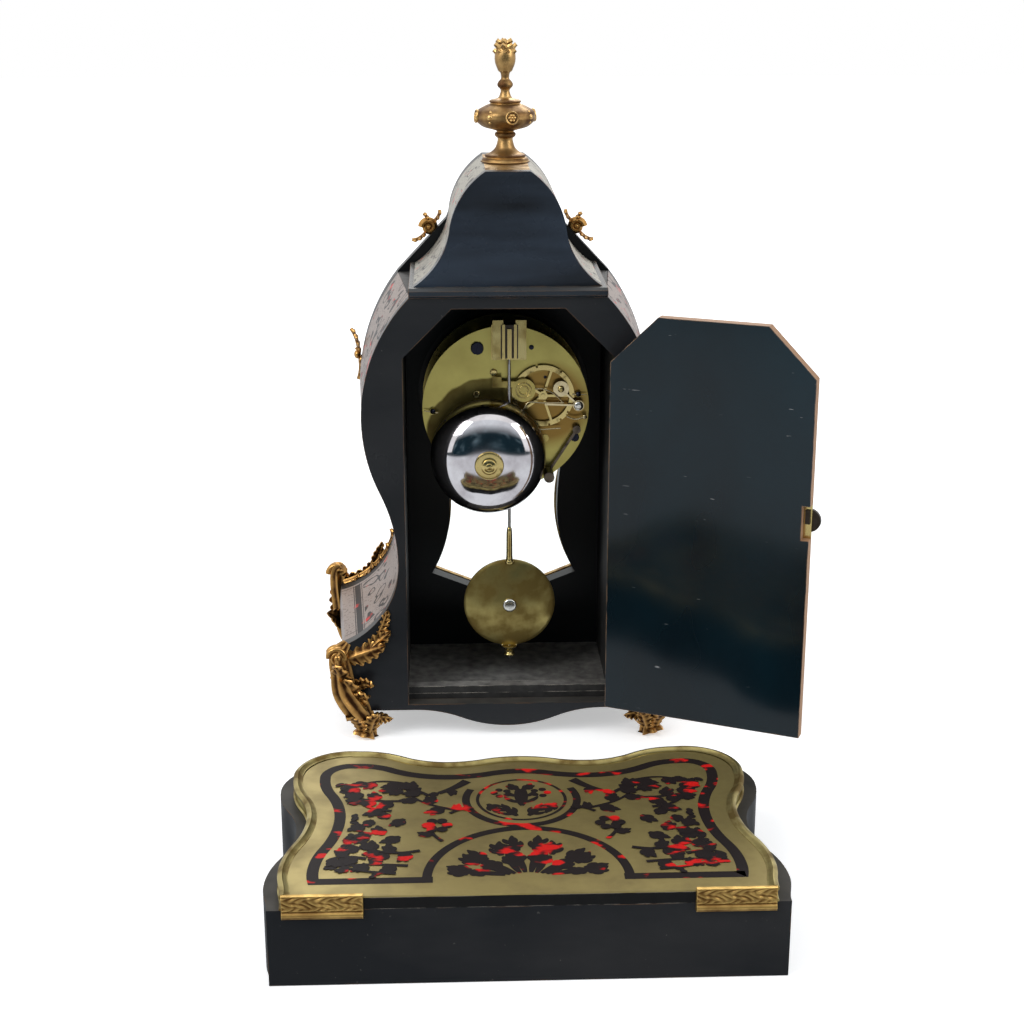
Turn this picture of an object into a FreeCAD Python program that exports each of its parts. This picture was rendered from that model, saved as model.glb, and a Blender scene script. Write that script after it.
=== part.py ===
import FreeCAD, Part
import math
import os
import re
import types
import Sketcher

# A waisted bracket clock, seen from behind with its rear door open, and the
# shaped plinth that belongs under it, standing by itself behind the clock.
# Millimetres.  +Z is up, the dial looks towards +Y, the rear door faces -Y,
# and the origin is on the floor under the middle of the case.

SIZES = {
    # carcase: outlines are half widths of the rear and the front board
    "case_deep": 110,
    "rear_board_thick": 9,
    "front_board_thick": 12,
    "veneer_thick": 0.8,
    "underside_high": 19,
    "apron_high": 7,
    "apron_half": 62,
    "rear_foot_half": 104,
    "rear_ear_half": 108,
    "rear_ear_high": 66,
    "rear_waist_wall": 5.1,
    "rear_hip_half": 93.4,
    "rear_shoulder_half": 62,
    "front_foot_half": 111,
    "front_ear_half": 115,
    "front_ear_high": 72,
    "front_waist_wall": 9.5,
    "front_hip_half": 98,
    "front_shoulder_half": 71,
    "ear_swell": 3,
    "waist_high": 121,
    "hip_high": 218,
    "shoulder_high": 296,
    # inside of the case
    "opening_half": 66.5,
    "opening_low": 23,
    "opening_high": 289,
    "opening_corner": 31,
    "floor_thick": 8,
    "sill_high": 5,
    "sill_deep": 8,
    # hood
    "cornice_thick": 6,
    "cornice_proud": 2.5,
    "cornice_nose": 1.5,
    "hood_foot_half": 59,
    "hood_neck_half": 36.5,
    "hood_neck_high": 335,
    "hood_top_half": 13.8,
    "hood_top_high": 373,
    "hood_hollow": 4,
    "hood_swell": 5,
    "hood_skin": 5,
    "hood_cap_thick": 7,
    "hood_inset": 5,
    "hood_back_thick": 8,
    "arch_half": 38,
    "arch_high": 331,
    # finial
    "finial_base_r": 15,
    "finial_base_thick": 4.5,
    "finial_stem_r": 4.8,
    "finial_stem_high": 15,
    "finial_collar_r": 6.5,
    "finial_urn_r": 19.5,
    "finial_urn_low": 20,
    "finial_urn_high": 37,
    "finial_neck_r": 3,
    "finial_knop_r": 4.8,
    "finial_knop_high": 48.5,
    "finial_cone_r": 8.2,
    "finial_cone_low": 56,
    "finial_high": 77,
    # gilt legs
    "leg_pad_half": 94,
    "leg_pad_r": 7.5,
    "leg_pad_inset": 5,
    "leg_ankle_r": 5.5,
    "leg_ankle_high": 6,
    "leg_knee_r": 11.5,
    "leg_knee_high": 36,
    "leg_knee_proud": 0,
    "leg_tip_r": 2.5,
    "leg_tip_rise": 5,
    "leg_sides": 12,
    # small gilt mounts
    "scroll_r": 5,
    "scroll_small_r": 3.2,
    "scroll_share": 0.72,
    "hip_mount_r": 4.5,
    "hip_mount_half_long": 17,
    "hip_mount_high": 238,
    # dial and glazed front door
    "dial_high": 213,
    "dial_r": 62.5,
    "dial_thick": 2,
    "dial_recess": 8,
    "dial_hole_r": 58,
    "dial_gap": 0.5,
    "hand_hole_r": 4.2,
    "winding_hole_r": 4.5,
    "cartouche_ring_r": 47,
    "cartouche_half_wide": 8,
    "cartouche_half_high": 10.5,
    "cartouche_thick": 1.5,
    "glimpse_low": 61,
    "glimpse_corner_half": 50.5,
    "glimpse_corner_high": 81,
    "glimpse_waist_half": 37.5,
    "glimpse_waist_high": 128,
    "glimpse_join_half": 42,
    "door_gap": 0.5,
    "door_frame_thick": 8,
    "door_frame_low": 46,
    "door_frame_corner_half": 70,
    "door_frame_corner_high": 72,
    "door_frame_waist_half": 47,
    "door_frame_join_half": 62,
    "door_frame_r": 73,
    "door_sight_low": 60,
    "door_sight_corner_half": 49,
    "door_sight_corner_high": 80,
    "door_sight_waist_half": 36.5,
    "door_sight_join_half": 49,
    "door_sight_r": 60,
    "glass_thick": 2.5,
    "glass_lap": 3,
    "glass_set_in": 1.5,
    "front_pin_clear": 4,
    "front_pin_out": 4,
    "front_pin_r": 1.2,
    "eye_r": 3,
    "eye_long": 5,
    "eye_tab_root": 8,
    "eye_high_up": 211,
    "eye_high_low": 80,
    "lug_long": 5,
    "pin_slip": 0.05,
    "end_slip": 0.3,
    # rear door, hinged on the right seen from behind
    "rear_door_gap": 1.3,
    "rear_door_thick": 7.5,
    "rear_door_open": 155.4,
    "hinge_barrel_r": 2,
    "hinge_pin_out": 2.2,
    "hinge_pin_r": 0.9,
    "hinge_knuckle": 10,
    "hinge_leaf_wide": 12,
    "hinge_leaf_thick": 1,
    "hinge_high_up": 225,
    "hinge_high_low": 62,
    "notch_deep": 5,
    "notch_tall": 22,
    "latch_high": 167,
    "latch_plate_thick": 1.5,
    "knob_r": 7.5,
    "knob_out": 6,
    "knob_inset": 2.4,
    "knob_stem_r": 1.5,
    "tongue_long": 9,
    "tongue_thick": 1.2,
    "keeper_deep": 5,
    "keeper_tall": 11,
    "keeper_slip": 0.4,
    # movement
    "movement_set_in": 50,
    "plate_r": 55,
    "plate_thick": 2.5,
    "plate_gap": 38.5,
    "pillar_r": 3.5,
    "pillar_ring_r": 48.7,
    "pillar_end_r": 2,
    "pillar_end_long": 5,
    "dial_foot_r": 2,
    "dial_foot_ring_r": 46,
    "dial_foot_turn": 45,
    "block_half": 11,
    "block_low": 248,
    "block_high": 274,
    "block_deep": 12,
    "block_slot": 3,
    "block_notch": 8,
    "block_notch_deep": 4,
    "block_foot_deep": 4,
    "big_screw_x": -18.7,
    "big_screw_up": 40.3,
    "screw_big_r": 4.2,
    "small_screw_x": 45.8,
    "small_screw_high": 192.6,
    "screw_small_r": 2.9,
    "screw_head": 1.6,
    # bell and hammer
    "bell_x": -12,
    "bell_high": 184,
    "bell_r": 38,
    "bell_deep": 26,
    "bell_wall": 1.8,
    "bell_rim_out": 11.5,
    "bell_post_r": 2,
    "bell_shoulder_r": 4,
    "bell_washer_r": 9,
    "bell_washer_thick": 1.2,
    "bell_nut_r": 4.6,
    "bell_nut_thick": 1.8,
    "hammer_x": 46.8,
    "hammer_high": 198.7,
    "hammer_rest": -20,
    "hammer_gap": 1.1,
    "hammer_head_r": 3.5,
    "hammer_head_out": 17,
    # pendulum and crutch
    "pendulum_x": 2,
    "pendulum_out": 9,
    "pendulum_top": 252,
    "spring_thick": 0.6,
    "spring_wide": 3.6,
    "spring_up": 10,
    "spring_down": 8,
    "rod_r": 1,
    "bob_r": 30.8,
    "bob_thick": 11,
    "bob_edge": 2,
    "bob_high": 79.4,
    "bob_boss_r": 4.7,
    "bob_boss_thick": 1.5,
    "rating_nut_r": 5,
    "rating_nut_high": 7.5,
    "rod_tail": 3,
    "crutch_wide": 2,
    "crutch_thick": 1.2,
    "crutch_low": 214,
    "crutch_hub_r": 3,
    "fork_slip": 0.1,
    # train
    "arbor_r": 1.5,
    "thin_arbor_r": 0.9,
    "barrel_x": 26,
    "barrel_high": 192,
    "barrel_r": 20,
    "barrel_long": 22,
    "barrel_up": 4,
    "barrel_arbor_r": 2.6,
    "centre_wheel_r": 19.75,
    "centre_wheel_up": 30,
    "wheel_thick": 1.5,
    "third_x": -19.4,
    "third_high": 222.3,
    "third_wheel_r": 17,
    "third_pinion_r": 1.65,
    "third_wheel_up": 34,
    "escape_x": -8,
    "escape_high": 237,
    "escape_wheel_r": 12,
    "escape_pinion_r": 1.42,
    "escape_wheel_up": 10,
    "pallet_reach": 13.4,
    "count_x": 24.5,
    "count_high": 221.5,
    "count_r": 20.6,
    "count_rim": 3.2,
    "count_spoke": 1.6,
    "count_hub_r": 3,
    "count_notch": 1.4,
    "cock_disc_x": 11.6,
    "cock_disc_high": 226,
    "cock_disc_r": 7.8,
    "cock_foot_x": -6,
    "lever_x": 47.8,
    "lever_high": 215.3,
    "lever_hub_r": 3.6,
    "lever_disc_x": 36.2,
    "lever_disc_high": 226.6,
    "lever_disc_r": 5.2,
    "lever_wire": 1.2,
    # motion work and hands
    "motion_wheel_r": 11.2,
    "motion_pinion_r": 2.95,
    "motion_distance": 15.1,
    "cannon_r": 3.7,
    "hour_wheel_r": 12,
    "hour_pipe_r": 3.6,
    "hour_pipe_bore": 2.45,
    "cannon_pipe_r": 2.4,
    "minute_hand_long": 50,
    "hour_hand_long": 33,
    "hand_thick": 0.8,
    "hand_wide": 3,
    "hour_hand_turn": 305,
    "minute_hand_turn": 60,
    # plinth, standing by itself behind the clock
    "plinth_away": 300.6,
    "plinth_high": 50.5,
    "plinth_body_high": 43,
    "plinth_body_half": 133,
    "plinth_body_swell": 136.5,
    "plinth_body_waist": 124,
    "plinth_top_half": 125.4,
    "plinth_top_swell": 128,
    "plinth_top_waist": 117,
    "plinth_deep": 167,
    "plinth_lobe_x": 93,
    "plinth_trough_x": 40,
    "plinth_trough": 16.5,
    "plinth_hump": 10,
    "plinth_body_margin": 0.5,
    "plate_thin": 1,
    "rim_wide": 4.5,
    "rim_proud": 1.5,
    "strip_long": 41.5,
    "strip_high": 13,
    "strip_thick": 2.5,
}

doc = FreeCAD.newDocument("bracket_clock")
sheet = doc.addObject("Spreadsheet::Sheet", "Sizes")
for row, (alias, amount) in enumerate(SIZES.items(), start=1):
    sheet.set(f"A{row}", alias)
    sheet.set(f"B{row}", str(amount))
    sheet.setAlias(f"B{row}", alias)
doc.recompute()
S = types.SimpleNamespace(**{alias: float(sheet.get(alias)) for alias in SIZES})

REAR = -S.case_deep / 2
FRONT = S.case_deep / 2
MOVEMENT = "(movement_set_in - case_deep / 2)"
nodes = []


# ---------------------------------------------------------------- helpers

def cells(formula):
    """The formula with each size's name pointing at its cell in the sheet."""
    return re.sub(r"[a-z_]\w*", lambda word: "Sizes." + word.group(0) if word.group(0) in SIZES
                  else word.group(0), formula)


def bind(item, **formulas):
    """Tie properties of an object to formulas of the sheet's sizes."""
    for name, formula in formulas.items():
        item.setExpression(name.replace("__", "."), cells(formula))
    return item


def place(item, x="0", y="0", z="0"):
    """Tie an object's place to three formulas."""
    return bind(item, Placement__Base__x=x, Placement__Base__y=y, Placement__Base__z=z)


def node(item, label):
    """Give a finished sub-part its label and list it for export."""
    item.Label = label
    nodes.append(item)
    return item


def box(name, x, y, z, wide, deep, high):
    """A block with its lowest corner at x, y, z."""
    item = doc.addObject("Part::Box", name)
    bind(item, Length=wide, Width=deep, Height=high)
    return place(item, x, y, z)


def bar(name, x, y, z, radius, length):
    """A round bar that starts at x, y, z and runs towards +Y."""
    item = doc.addObject("Part::Cylinder", name)
    bind(item, Radius=radius, Height=length)
    item.Placement.Rotation = FreeCAD.Rotation(FreeCAD.Vector(1, 0, 0), -90)
    return place(item, x, y, z)


def post(name, x, y, z, radius, length):
    """A round bar that stands on x, y, z."""
    item = doc.addObject("Part::Cylinder", name)
    bind(item, Radius=radius, Height=length)
    return place(item, x, y, z)


def join(name, *items):
    """One solid of pieces that meet."""
    item = doc.addObject("Part::MultiFuse", name)
    item.Shapes = list(items)
    return item


def group(name, *items):
    """Separate solids of one kind kept together."""
    item = doc.addObject("Part::Compound", name)
    item.Links = list(items)
    return item


def less(name, base, *tools):
    """A piece with other pieces' room cut out of it."""
    item = doc.addObject("Part::Cut", name)
    item.Base = base
    item.Tool = tools[0] if len(tools) == 1 else group(name + "_room", *tools)
    return item


def profile(body, plane, corners):
    """A closed sketch of straight lines whose corners are pairs of formulas."""
    sketch = body.newObject("Sketcher::SketchObject", body.Name + "_outline")
    support = next(item for item in body.Origin.OriginFeatures if item.Role == plane)
    sketch.AttachmentSupport = [(support, "")]
    sketch.MapMode = "FlatFace"
    count = len(corners)
    ring = [FreeCAD.Vector(math.cos(math.tau * k / count), math.sin(math.tau * k / count), 0)
            for k in range(count)]
    sketch.addGeometry([Part.LineSegment(ring[k], ring[(k + 1) % count]) for k in range(count)], False)
    sketch.addConstraint([Sketcher.Constraint("Coincident", k, 2, (k + 1) % count, 1)
                          for k in range(count)])
    for k, (across, up) in enumerate(corners):
        for kind, formula, start in (("DistanceX", across, ring[k].x), ("DistanceY", up, ring[k].y)):
            number = sketch.addConstraint(Sketcher.Constraint(kind, -1, 1, k, 1, start))
            sketch.setExpression(f"Constraints[{number}]", cells(formula))
    return sketch


def turned(name, corners, x="0", y="0", z="0", along_y=False):
    """A lathe-turned body: corners are radius and height; its axis is +Z, or +Y if asked."""
    body = doc.addObject("PartDesign::Body", name)
    sketch = profile(body, "XZ_Plane", corners)
    turn = body.newObject("PartDesign::Revolution", name + "_turn")
    turn.Profile = sketch
    turn.ReferenceAxis = (sketch, ["V_Axis"])
    turn.Angle = 360
    if along_y:
        body.Placement.Rotation = FreeCAD.Rotation(FreeCAD.Vector(1, 0, 0), -90)
    return place(body, x, y, z)


def sawn(name, plane, corners, thick, x="0", y="0", z="0"):
    """A flat piece sawn to a straight-sided outline and padded to both sides of its plane."""
    body = doc.addObject("PartDesign::Body", name)
    sketch = profile(body, plane, corners)
    pad = body.newObject("PartDesign::Pad", name + "_pad")
    pad.Profile = sketch
    pad.Midplane = True
    bind(pad, Length=thick)
    return place(body, x, y, z)


def shaped(name, shape):
    """A piece whose curved outline is drawn with arcs and lines."""
    item = doc.addObject("Part::Feature", name)
    item.Shape = shape
    return item


class Outline:
    """Half of a symmetrical outline in two coordinates, drawn from the middle line outwards."""

    def __init__(self, across, up):
        self.start = (across, up)
        self.spans = []

    def last(self):
        return self.spans[-1][1] if self.spans else self.start

    def line(self, across, up):
        self.spans.append((None, (across, up)))
        return self

    def arc(self, middle, end):
        self.spans.append((middle, end))
        return self

    def bow(self, across, up, rise):
        """An arc whose middle stands off its chord by rise, to the right of its travel."""
        a, b = self.last()
        long = math.hypot(across - a, up - b)
        middle = ((a + across) / 2 + rise * (up - b) / long, (b + up) / 2 - rise * (across - a) / long)
        return self.arc(middle, (across, up))

    def round_on(self, centre, end):
        """The shorter arc about a centre to the end point."""
        a, b = self.last()
        radius = math.hypot(a - centre[0], b - centre[1])
        pull = (a + end[0] - 2 * centre[0], b + end[1] - 2 * centre[1])
        scale = radius / math.hypot(*pull)
        return self.arc((centre[0] + pull[0] * scale, centre[1] + pull[1] * scale), end)

    def leave_upright(self, across, up):
        """An arc that leaves its start parallel to the second coordinate."""
        a, b = self.last()
        radius = ((across - a) ** 2 + (up - b) ** 2) / (2 * (across - a))
        return self.round_on((a + radius, b), (across, up))

    def land_upright(self, across, up):
        """An arc that arrives at its end parallel to the second coordinate."""
        a, b = self.last()
        radius = ((across - a) ** 2 + (up - b) ** 2) / (2 * (a - across))
        return self.round_on((across + radius, up), (across, up))

    def ess_upright(self, across, up):
        """Two equal arcs that leave and arrive parallel to the second coordinate."""
        a, b = self.last()
        self.leave_upright((a + across) / 2, (b + up) / 2)
        return self.land_upright(across, up)

    def ess_level(self, across, up):
        """Two equal arcs that leave and arrive parallel to the first coordinate."""
        a, b = self.last()
        radius = ((across - a) ** 2 + (up - b) ** 2) / (4 * (up - b))
        middle = ((a + across) / 2, (b + up) / 2)
        self.round_on((a, b + radius), middle)
        return self.round_on((across, up - radius), (across, up))

    def mirrored(self):
        """The whole outline: this half, then its mirror image back to the start."""
        whole = Outline(*self.start)
        whole.spans = list(self.spans)
        ends = [self.start] + [end for _, end in self.spans]
        for (middle, _), end in zip(reversed(self.spans), reversed(ends[:-1])):
            whole.spans.append((middle and (-middle[0], middle[1]), (-end[0], end[1])))
        whole.spans = [span for k, span in enumerate(whole.spans) if whole.moves(k)]
        return whole

    def moves(self, number):
        """Whether a span has any length, which one along the middle line may not."""
        before = self.spans[number - 1][1] if number else self.start
        return math.dist(before, self.spans[number][1]) > 1e-6

    def wire(self, point):
        """The closed wire, each pair of coordinates placed by the function point."""
        edges = []
        here = self.start
        for middle, end in self.spans:
            if middle is None:
                edges.append(Part.LineSegment(point(*here), point(*end)).toShape())
            else:
                edges.append(Part.Arc(point(*here), point(*middle), point(*end)).toShape())
            here = end
        if math.dist(here, self.start) > 1e-6:
            edges.append(Part.LineSegment(point(*here), point(*self.start)).toShape())
        return Part.Wire(edges)


def upright(y):
    """Place outline points in the upright plane at y."""
    return lambda x, z: FreeCAD.Vector(x, y, z)


def level(y, z):
    """Place outline points in the level plane at z, counted back from y."""
    return lambda x, deep: FreeCAD.Vector(x, y + deep, z)


def board(outline, y, thick):
    """A board sawn to an upright outline, its rear face at y."""
    return Part.Face(outline.wire(upright(y))).extrude(FreeCAD.Vector(0, thick, 0))


def disc(x, z, radius, y, thick):
    """A flat round piece across the depth of the case."""
    return Part.makeCylinder(radius, thick, FreeCAD.Vector(x, y, z), FreeCAD.Vector(0, 1, 0))


# ---------------------------------------------------------------- carcase

def side_curve(outline, face, skin=0.0):
    """Add the side of the case, foot to shoulder: ear, flare, waist and hip, set in by a skin."""
    foot = getattr(S, face + "_foot_half")
    ear = getattr(S, face + "_ear_half")
    ear_high = getattr(S, face + "_ear_high")
    waist = S.opening_half + getattr(S, face + "_waist_wall")
    hip = getattr(S, face + "_hip_half")
    shoulder = getattr(S, face + "_shoulder_half")
    outline.line(foot - skin, S.underside_high)
    outline.bow(ear - 0.4 * skin, ear_high - 0.9 * skin, S.ear_swell)
    outline.land_upright(waist - skin, S.waist_high)
    outline.ess_upright(hip - skin, S.hip_high)
    return outline.leave_upright(shoulder - 0.7 * skin, S.shoulder_high - 0.7 * skin)


def apron():
    """The lower edge of a board from its middle: a shallow reversed curve up to the underside."""
    outline = Outline(0, S.apron_high)
    return outline.ess_level(S.apron_half, S.underside_high)


def opening_outline():
    """The door opening in the rear board, with its two upper corners cut off."""
    outline = Outline(0, S.opening_low)
    outline.line(S.opening_half, S.opening_low)
    outline.line(S.opening_half, S.opening_high - S.opening_corner)
    outline.line(S.opening_half - S.opening_corner, S.opening_high)
    outline.line(0, S.opening_high)
    return outline.mirrored()


def rear_board():
    outline = side_curve(apron(), "rear")
    outline.line(0, S.shoulder_high)
    solid = board(outline.mirrored(), REAR, S.rear_board_thick)
    hole = board(opening_outline(), REAR - 1, S.rear_board_thick + 2)
    inner = REAR + S.latch_plate_thick + S.end_slip
    slot = Part.makeBox(S.keeper_deep, S.tongue_thick + 2 * S.keeper_slip, S.keeper_tall,
                        FreeCAD.Vector(-S.opening_half - S.keeper_deep, inner - S.keeper_slip,
                                       S.latch_high - S.knob_stem_r - S.keeper_slip))
    return node(shaped("rear_board_form", solid.cut(hole).cut(slot)), "rear_board")


def hood_curve(outline, inset=0.0):
    """Add the bell-shaped side of the hood, from its foot or the arch to the flat top."""
    outline.bow(S.hood_neck_half - inset, S.hood_neck_high, -S.hood_hollow)
    return outline.bow(S.hood_top_half - inset, S.hood_top_high - inset, S.hood_swell)


def front_opening():
    """The round dial hole and the waisted window under it that shows the pendulum."""
    outline = Outline(0, S.glimpse_low)
    outline.line(S.glimpse_corner_half, S.glimpse_corner_high)
    outline.land_upright(S.glimpse_waist_half, S.glimpse_waist_high)
    drop = math.sqrt(S.dial_hole_r ** 2 - S.glimpse_join_half ** 2)
    outline.leave_upright(S.glimpse_join_half, S.dial_high - drop)
    outline.round_on((0, S.dial_high), (S.dial_hole_r, S.dial_high))
    outline.round_on((0, S.dial_high), (0, S.dial_high + S.dial_hole_r))
    return outline.mirrored()


def front_board():
    outline = side_curve(apron(), "front")
    outline.line(S.arch_half, S.arch_high)
    outline.line(S.hood_neck_half, S.hood_neck_high)
    outline.bow(S.hood_top_half, S.hood_top_high, S.hood_swell)
    outline.line(0, S.hood_top_high)
    inner = FRONT - S.front_board_thick
    solid = board(outline.mirrored(), inner, S.front_board_thick)
    solid = solid.cut(board(front_opening(), inner - 1, S.front_board_thick + 2))
    seat = disc(0, S.dial_high, S.dial_r + S.dial_gap, FRONT - S.dial_recess, S.dial_recess + 1)
    return node(shaped("front_board_form", solid.cut(seat)), "front_board")


def side_section(face, y, skin):
    """Section of a case side at depth y: shaped outside, flat inside with a cut-off top corner."""
    outline = Outline(S.opening_half, S.underside_high)
    side_curve(outline, face, skin)
    corner = S.opening_half - S.opening_corner
    outline.line(corner, S.shoulder_high - 0.7 * skin)
    outline.line(corner, S.opening_high)
    outline.line(S.opening_half, S.opening_high - S.opening_corner)
    return outline.wire(upright(y))


def veneer_section(face, y):
    """Section of the inlaid skin at depth y, between the finished outline and the wood."""
    outside = side_curve(Outline(getattr(S, face + "_foot_half") - S.veneer_thick, S.underside_high),
                         face)
    inside = side_curve(Outline(0, S.underside_high), face, S.veneer_thick)
    ends = [end for _, end in inside.spans]
    outside.line(*ends[-1])
    for number in range(len(ends) - 1, 1, -1):
        outside.spans.append((inside.spans[number][0], ends[number - 1]))
    outside.spans.append((inside.spans[1][0], ends[0]))
    return outside.wire(upright(y))


def sides():
    """The two solid shaped sides and the inlaid skins glued on them, ruled from back to front."""
    back = REAR + S.rear_board_thick
    front = FRONT - S.front_board_thick
    wood = Part.makeLoft([side_section("rear", back, S.veneer_thick),
                          side_section("front", front, S.veneer_thick)], True, True)
    skin = Part.makeLoft([veneer_section("rear", back), veneer_section("front", front)], True, True)
    mirror = (FreeCAD.Vector(0, 0, 0), FreeCAD.Vector(1, 0, 0))
    for hand, turn in (("right", False), ("left", True)):
        for kind, solid in (("case_side", wood), ("side_veneer", skin)):
            label = f"{kind}_{hand}"
            node(shaped(label + "_form", solid.mirror(*mirror) if turn else solid.copy()), label)


def floor_and_roof():
    between = "case_deep - rear_board_thick - front_board_thick"
    back = "rear_board_thick - case_deep / 2"
    node(box("floor_board_form", "-opening_half", back, "underside_high", "2 * opening_half", between,
             "floor_thick"), "floor_board")
    node(box("rear_sill_form", "-opening_half", back, "underside_high + floor_thick",
             "2 * opening_half", "sill_deep", "sill_high"), "rear_sill")
    node(box("roof_board_form", "opening_corner - opening_half", back, "opening_high",
             "2 * (opening_half - opening_corner)", between,
             "shoulder_high - opening_high"), "roof_board")


# ---------------------------------------------------------------- hood and finial

def cornice():
    back = "-case_deep / 2 - cornice_proud"
    front = "case_deep / 2 - front_board_thick"
    top = "shoulder_high + cornice_thick"
    corners = [("-case_deep / 2", "shoulder_high"), (front, "shoulder_high"), (front, top),
               ("-case_deep / 2", top), (back, top + " - cornice_nose"),
               (back, "shoulder_high + cornice_nose")]
    node(sawn("cornice_form", "YZ_Plane", corners, "2 * rear_shoulder_half"), "cornice")


def hood_outline(inset=0.0):
    foot = S.shoulder_high + S.cornice_thick
    return hood_curve(Outline(S.hood_foot_half - inset, foot), inset)


def hood():
    foot = S.shoulder_high + S.cornice_thick
    back = REAR + S.hood_inset
    outline = Outline(0, foot)
    outline.line(S.hood_foot_half, foot)
    hood_curve(outline)
    outline.line(0, S.hood_top_high)
    node(shaped("hood_back_form", board(outline.mirrored(), back, S.hood_back_thick)), "hood_back")
    behind = back + S.hood_back_thick
    long = FRONT - S.front_board_thick - behind
    skin = hood_outline()
    under = S.hood_top_high - S.hood_cap_thick
    skin.line(S.hood_top_half, under)
    skin.bow(S.hood_neck_half - S.hood_skin, S.hood_neck_high, -S.hood_swell * 0.8)
    skin.bow(S.hood_foot_half - S.hood_skin, foot, S.hood_hollow)
    solid = board(skin, behind, long)
    node(shaped("hood_side_right_form", solid), "hood_side_right")
    twin = solid.mirror(FreeCAD.Vector(0, 0, 0), FreeCAD.Vector(1, 0, 0))
    node(shaped("hood_side_left_form", twin), "hood_side_left")
    behind_cell = "hood_inset + hood_back_thick - case_deep / 2"
    node(box("hood_cap_form", "-hood_top_half", behind_cell, "hood_top_high - hood_cap_thick",
             "2 * hood_top_half", "case_deep - front_board_thick - hood_inset - hood_back_thick",
             "hood_cap_thick"), "hood_cap")


def finial():
    corners = [("0", "0"), ("finial_base_r", "0"), ("finial_base_r", "finial_base_thick"),
               ("finial_stem_r * 1.7", "finial_base_thick + 1"),
               ("finial_stem_r * 1.1", "finial_base_thick + 5"),
               ("finial_stem_r", "finial_stem_high"),
               ("finial_collar_r", "finial_stem_high + 2"),
               ("finial_collar_r", "finial_urn_low - 1"),
               ("finial_urn_r * 0.62", "finial_urn_low + 1"),
               ("finial_urn_r", "finial_urn_low + 7"), ("finial_urn_r", "finial_urn_low + 11"),
               ("finial_urn_r * 0.75", "finial_urn_high - 3"),
               ("finial_neck_r * 1.6", "finial_urn_high"),
               ("finial_neck_r", "finial_urn_high + 4"),
               ("finial_neck_r", "finial_knop_high - 4"),
               ("finial_knop_r", "finial_knop_high - 1.5"),
               ("finial_knop_r", "finial_knop_high + 1.5"),
               ("finial_neck_r * 0.8", "finial_cone_low"),
               ("finial_cone_r * 0.85", "finial_cone_low + 4"),
               ("finial_cone_r", "finial_cone_low + 10"),
               ("finial_cone_r * 0.7", "finial_high - 3"), ("0", "finial_high")]
    node(turned("finial_form", corners, z="hood_top_high"), "finial")


# ---------------------------------------------------------------- gilt mounts

def faceted(stations):
    """A cast piece with flat-sided sections: stations are x, y, height and radius."""
    rings = []
    for x, y, high, radius in stations:
        corners = [FreeCAD.Vector(x + radius * math.cos(math.tau * k / S.leg_sides),
                                  y + radius * math.sin(math.tau * k / S.leg_sides), high)
                   for k in range(int(S.leg_sides))]
        rings.append(Part.makePolygon(corners + corners[:1]))
    return Part.makeLoft(rings, True, True)


def leg_blank(face):
    """A curved leg for one corner, from the pad, through the knee, to the tip."""
    ear = getattr(S, face + "_ear_half")
    ear_high = getattr(S, face + "_ear_high")
    pad = (S.leg_pad_half, FRONT - S.leg_pad_inset)
    knee = (ear + S.leg_knee_proud, FRONT + S.leg_knee_proud)

    def between(share):
        return [low + (high - low) * share for low, high in zip(pad, knee)]

    stations = [(0, 0, S.leg_pad_r), (0.05, S.leg_ankle_high, S.leg_ankle_r),
                (0.3, (S.leg_ankle_high + S.underside_high) / 2, S.leg_ankle_r * 1.2),
                (0.6, S.underside_high, S.leg_knee_r * 0.85), (1, S.leg_knee_high, S.leg_knee_r),
                (1.1, (S.leg_knee_high + ear_high) / 2, S.leg_knee_r * 0.9),
                (1.1, ear_high - 2, S.leg_knee_r * 0.55), (1.0, ear_high + S.leg_tip_rise, S.leg_tip_r)]
    return faceted([(*between(share), high, radius) for share, high, radius in stations])


def case_envelope():
    """The closed outer form of the case, which the gilt legs fit round."""
    solids = []
    for face, y, thick in (("rear", REAR, S.rear_board_thick),
                           ("front", FRONT - S.front_board_thick, S.front_board_thick)):
        outline = side_curve(apron(), face)
        outline.line(0, S.shoulder_high)
        solids.append(board(outline.mirrored(), y, thick))
    wires = []
    for face, y in (("rear", REAR + S.rear_board_thick), ("front", FRONT - S.front_board_thick)):
        outline = side_curve(Outline(0, S.underside_high), face)
        outline.line(0, S.shoulder_high)
        wires.append(outline.mirrored().wire(upright(y)))
    solids.append(Part.makeLoft(wires, True, True))
    return solids[0].fuse(solids[1:])


def legs(envelope):
    across = (FreeCAD.Vector(0, 0, 0), FreeCAD.Vector(1, 0, 0))
    through = (FreeCAD.Vector(0, 0, 0), FreeCAD.Vector(0, 1, 0))
    for face in ("rear", "front"):
        blank = leg_blank(face)
        if face == "rear":
            blank = blank.mirror(*through)
        right = blank.cut(envelope)
        right = max(right.Solids, key=lambda solid: solid.Volume)
        node(shaped(f"leg_{face}_right_form", right), f"leg_{face}_right")
        node(shaped(f"leg_{face}_left_form", right.mirror(*across)), f"leg_{face}_left")


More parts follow.
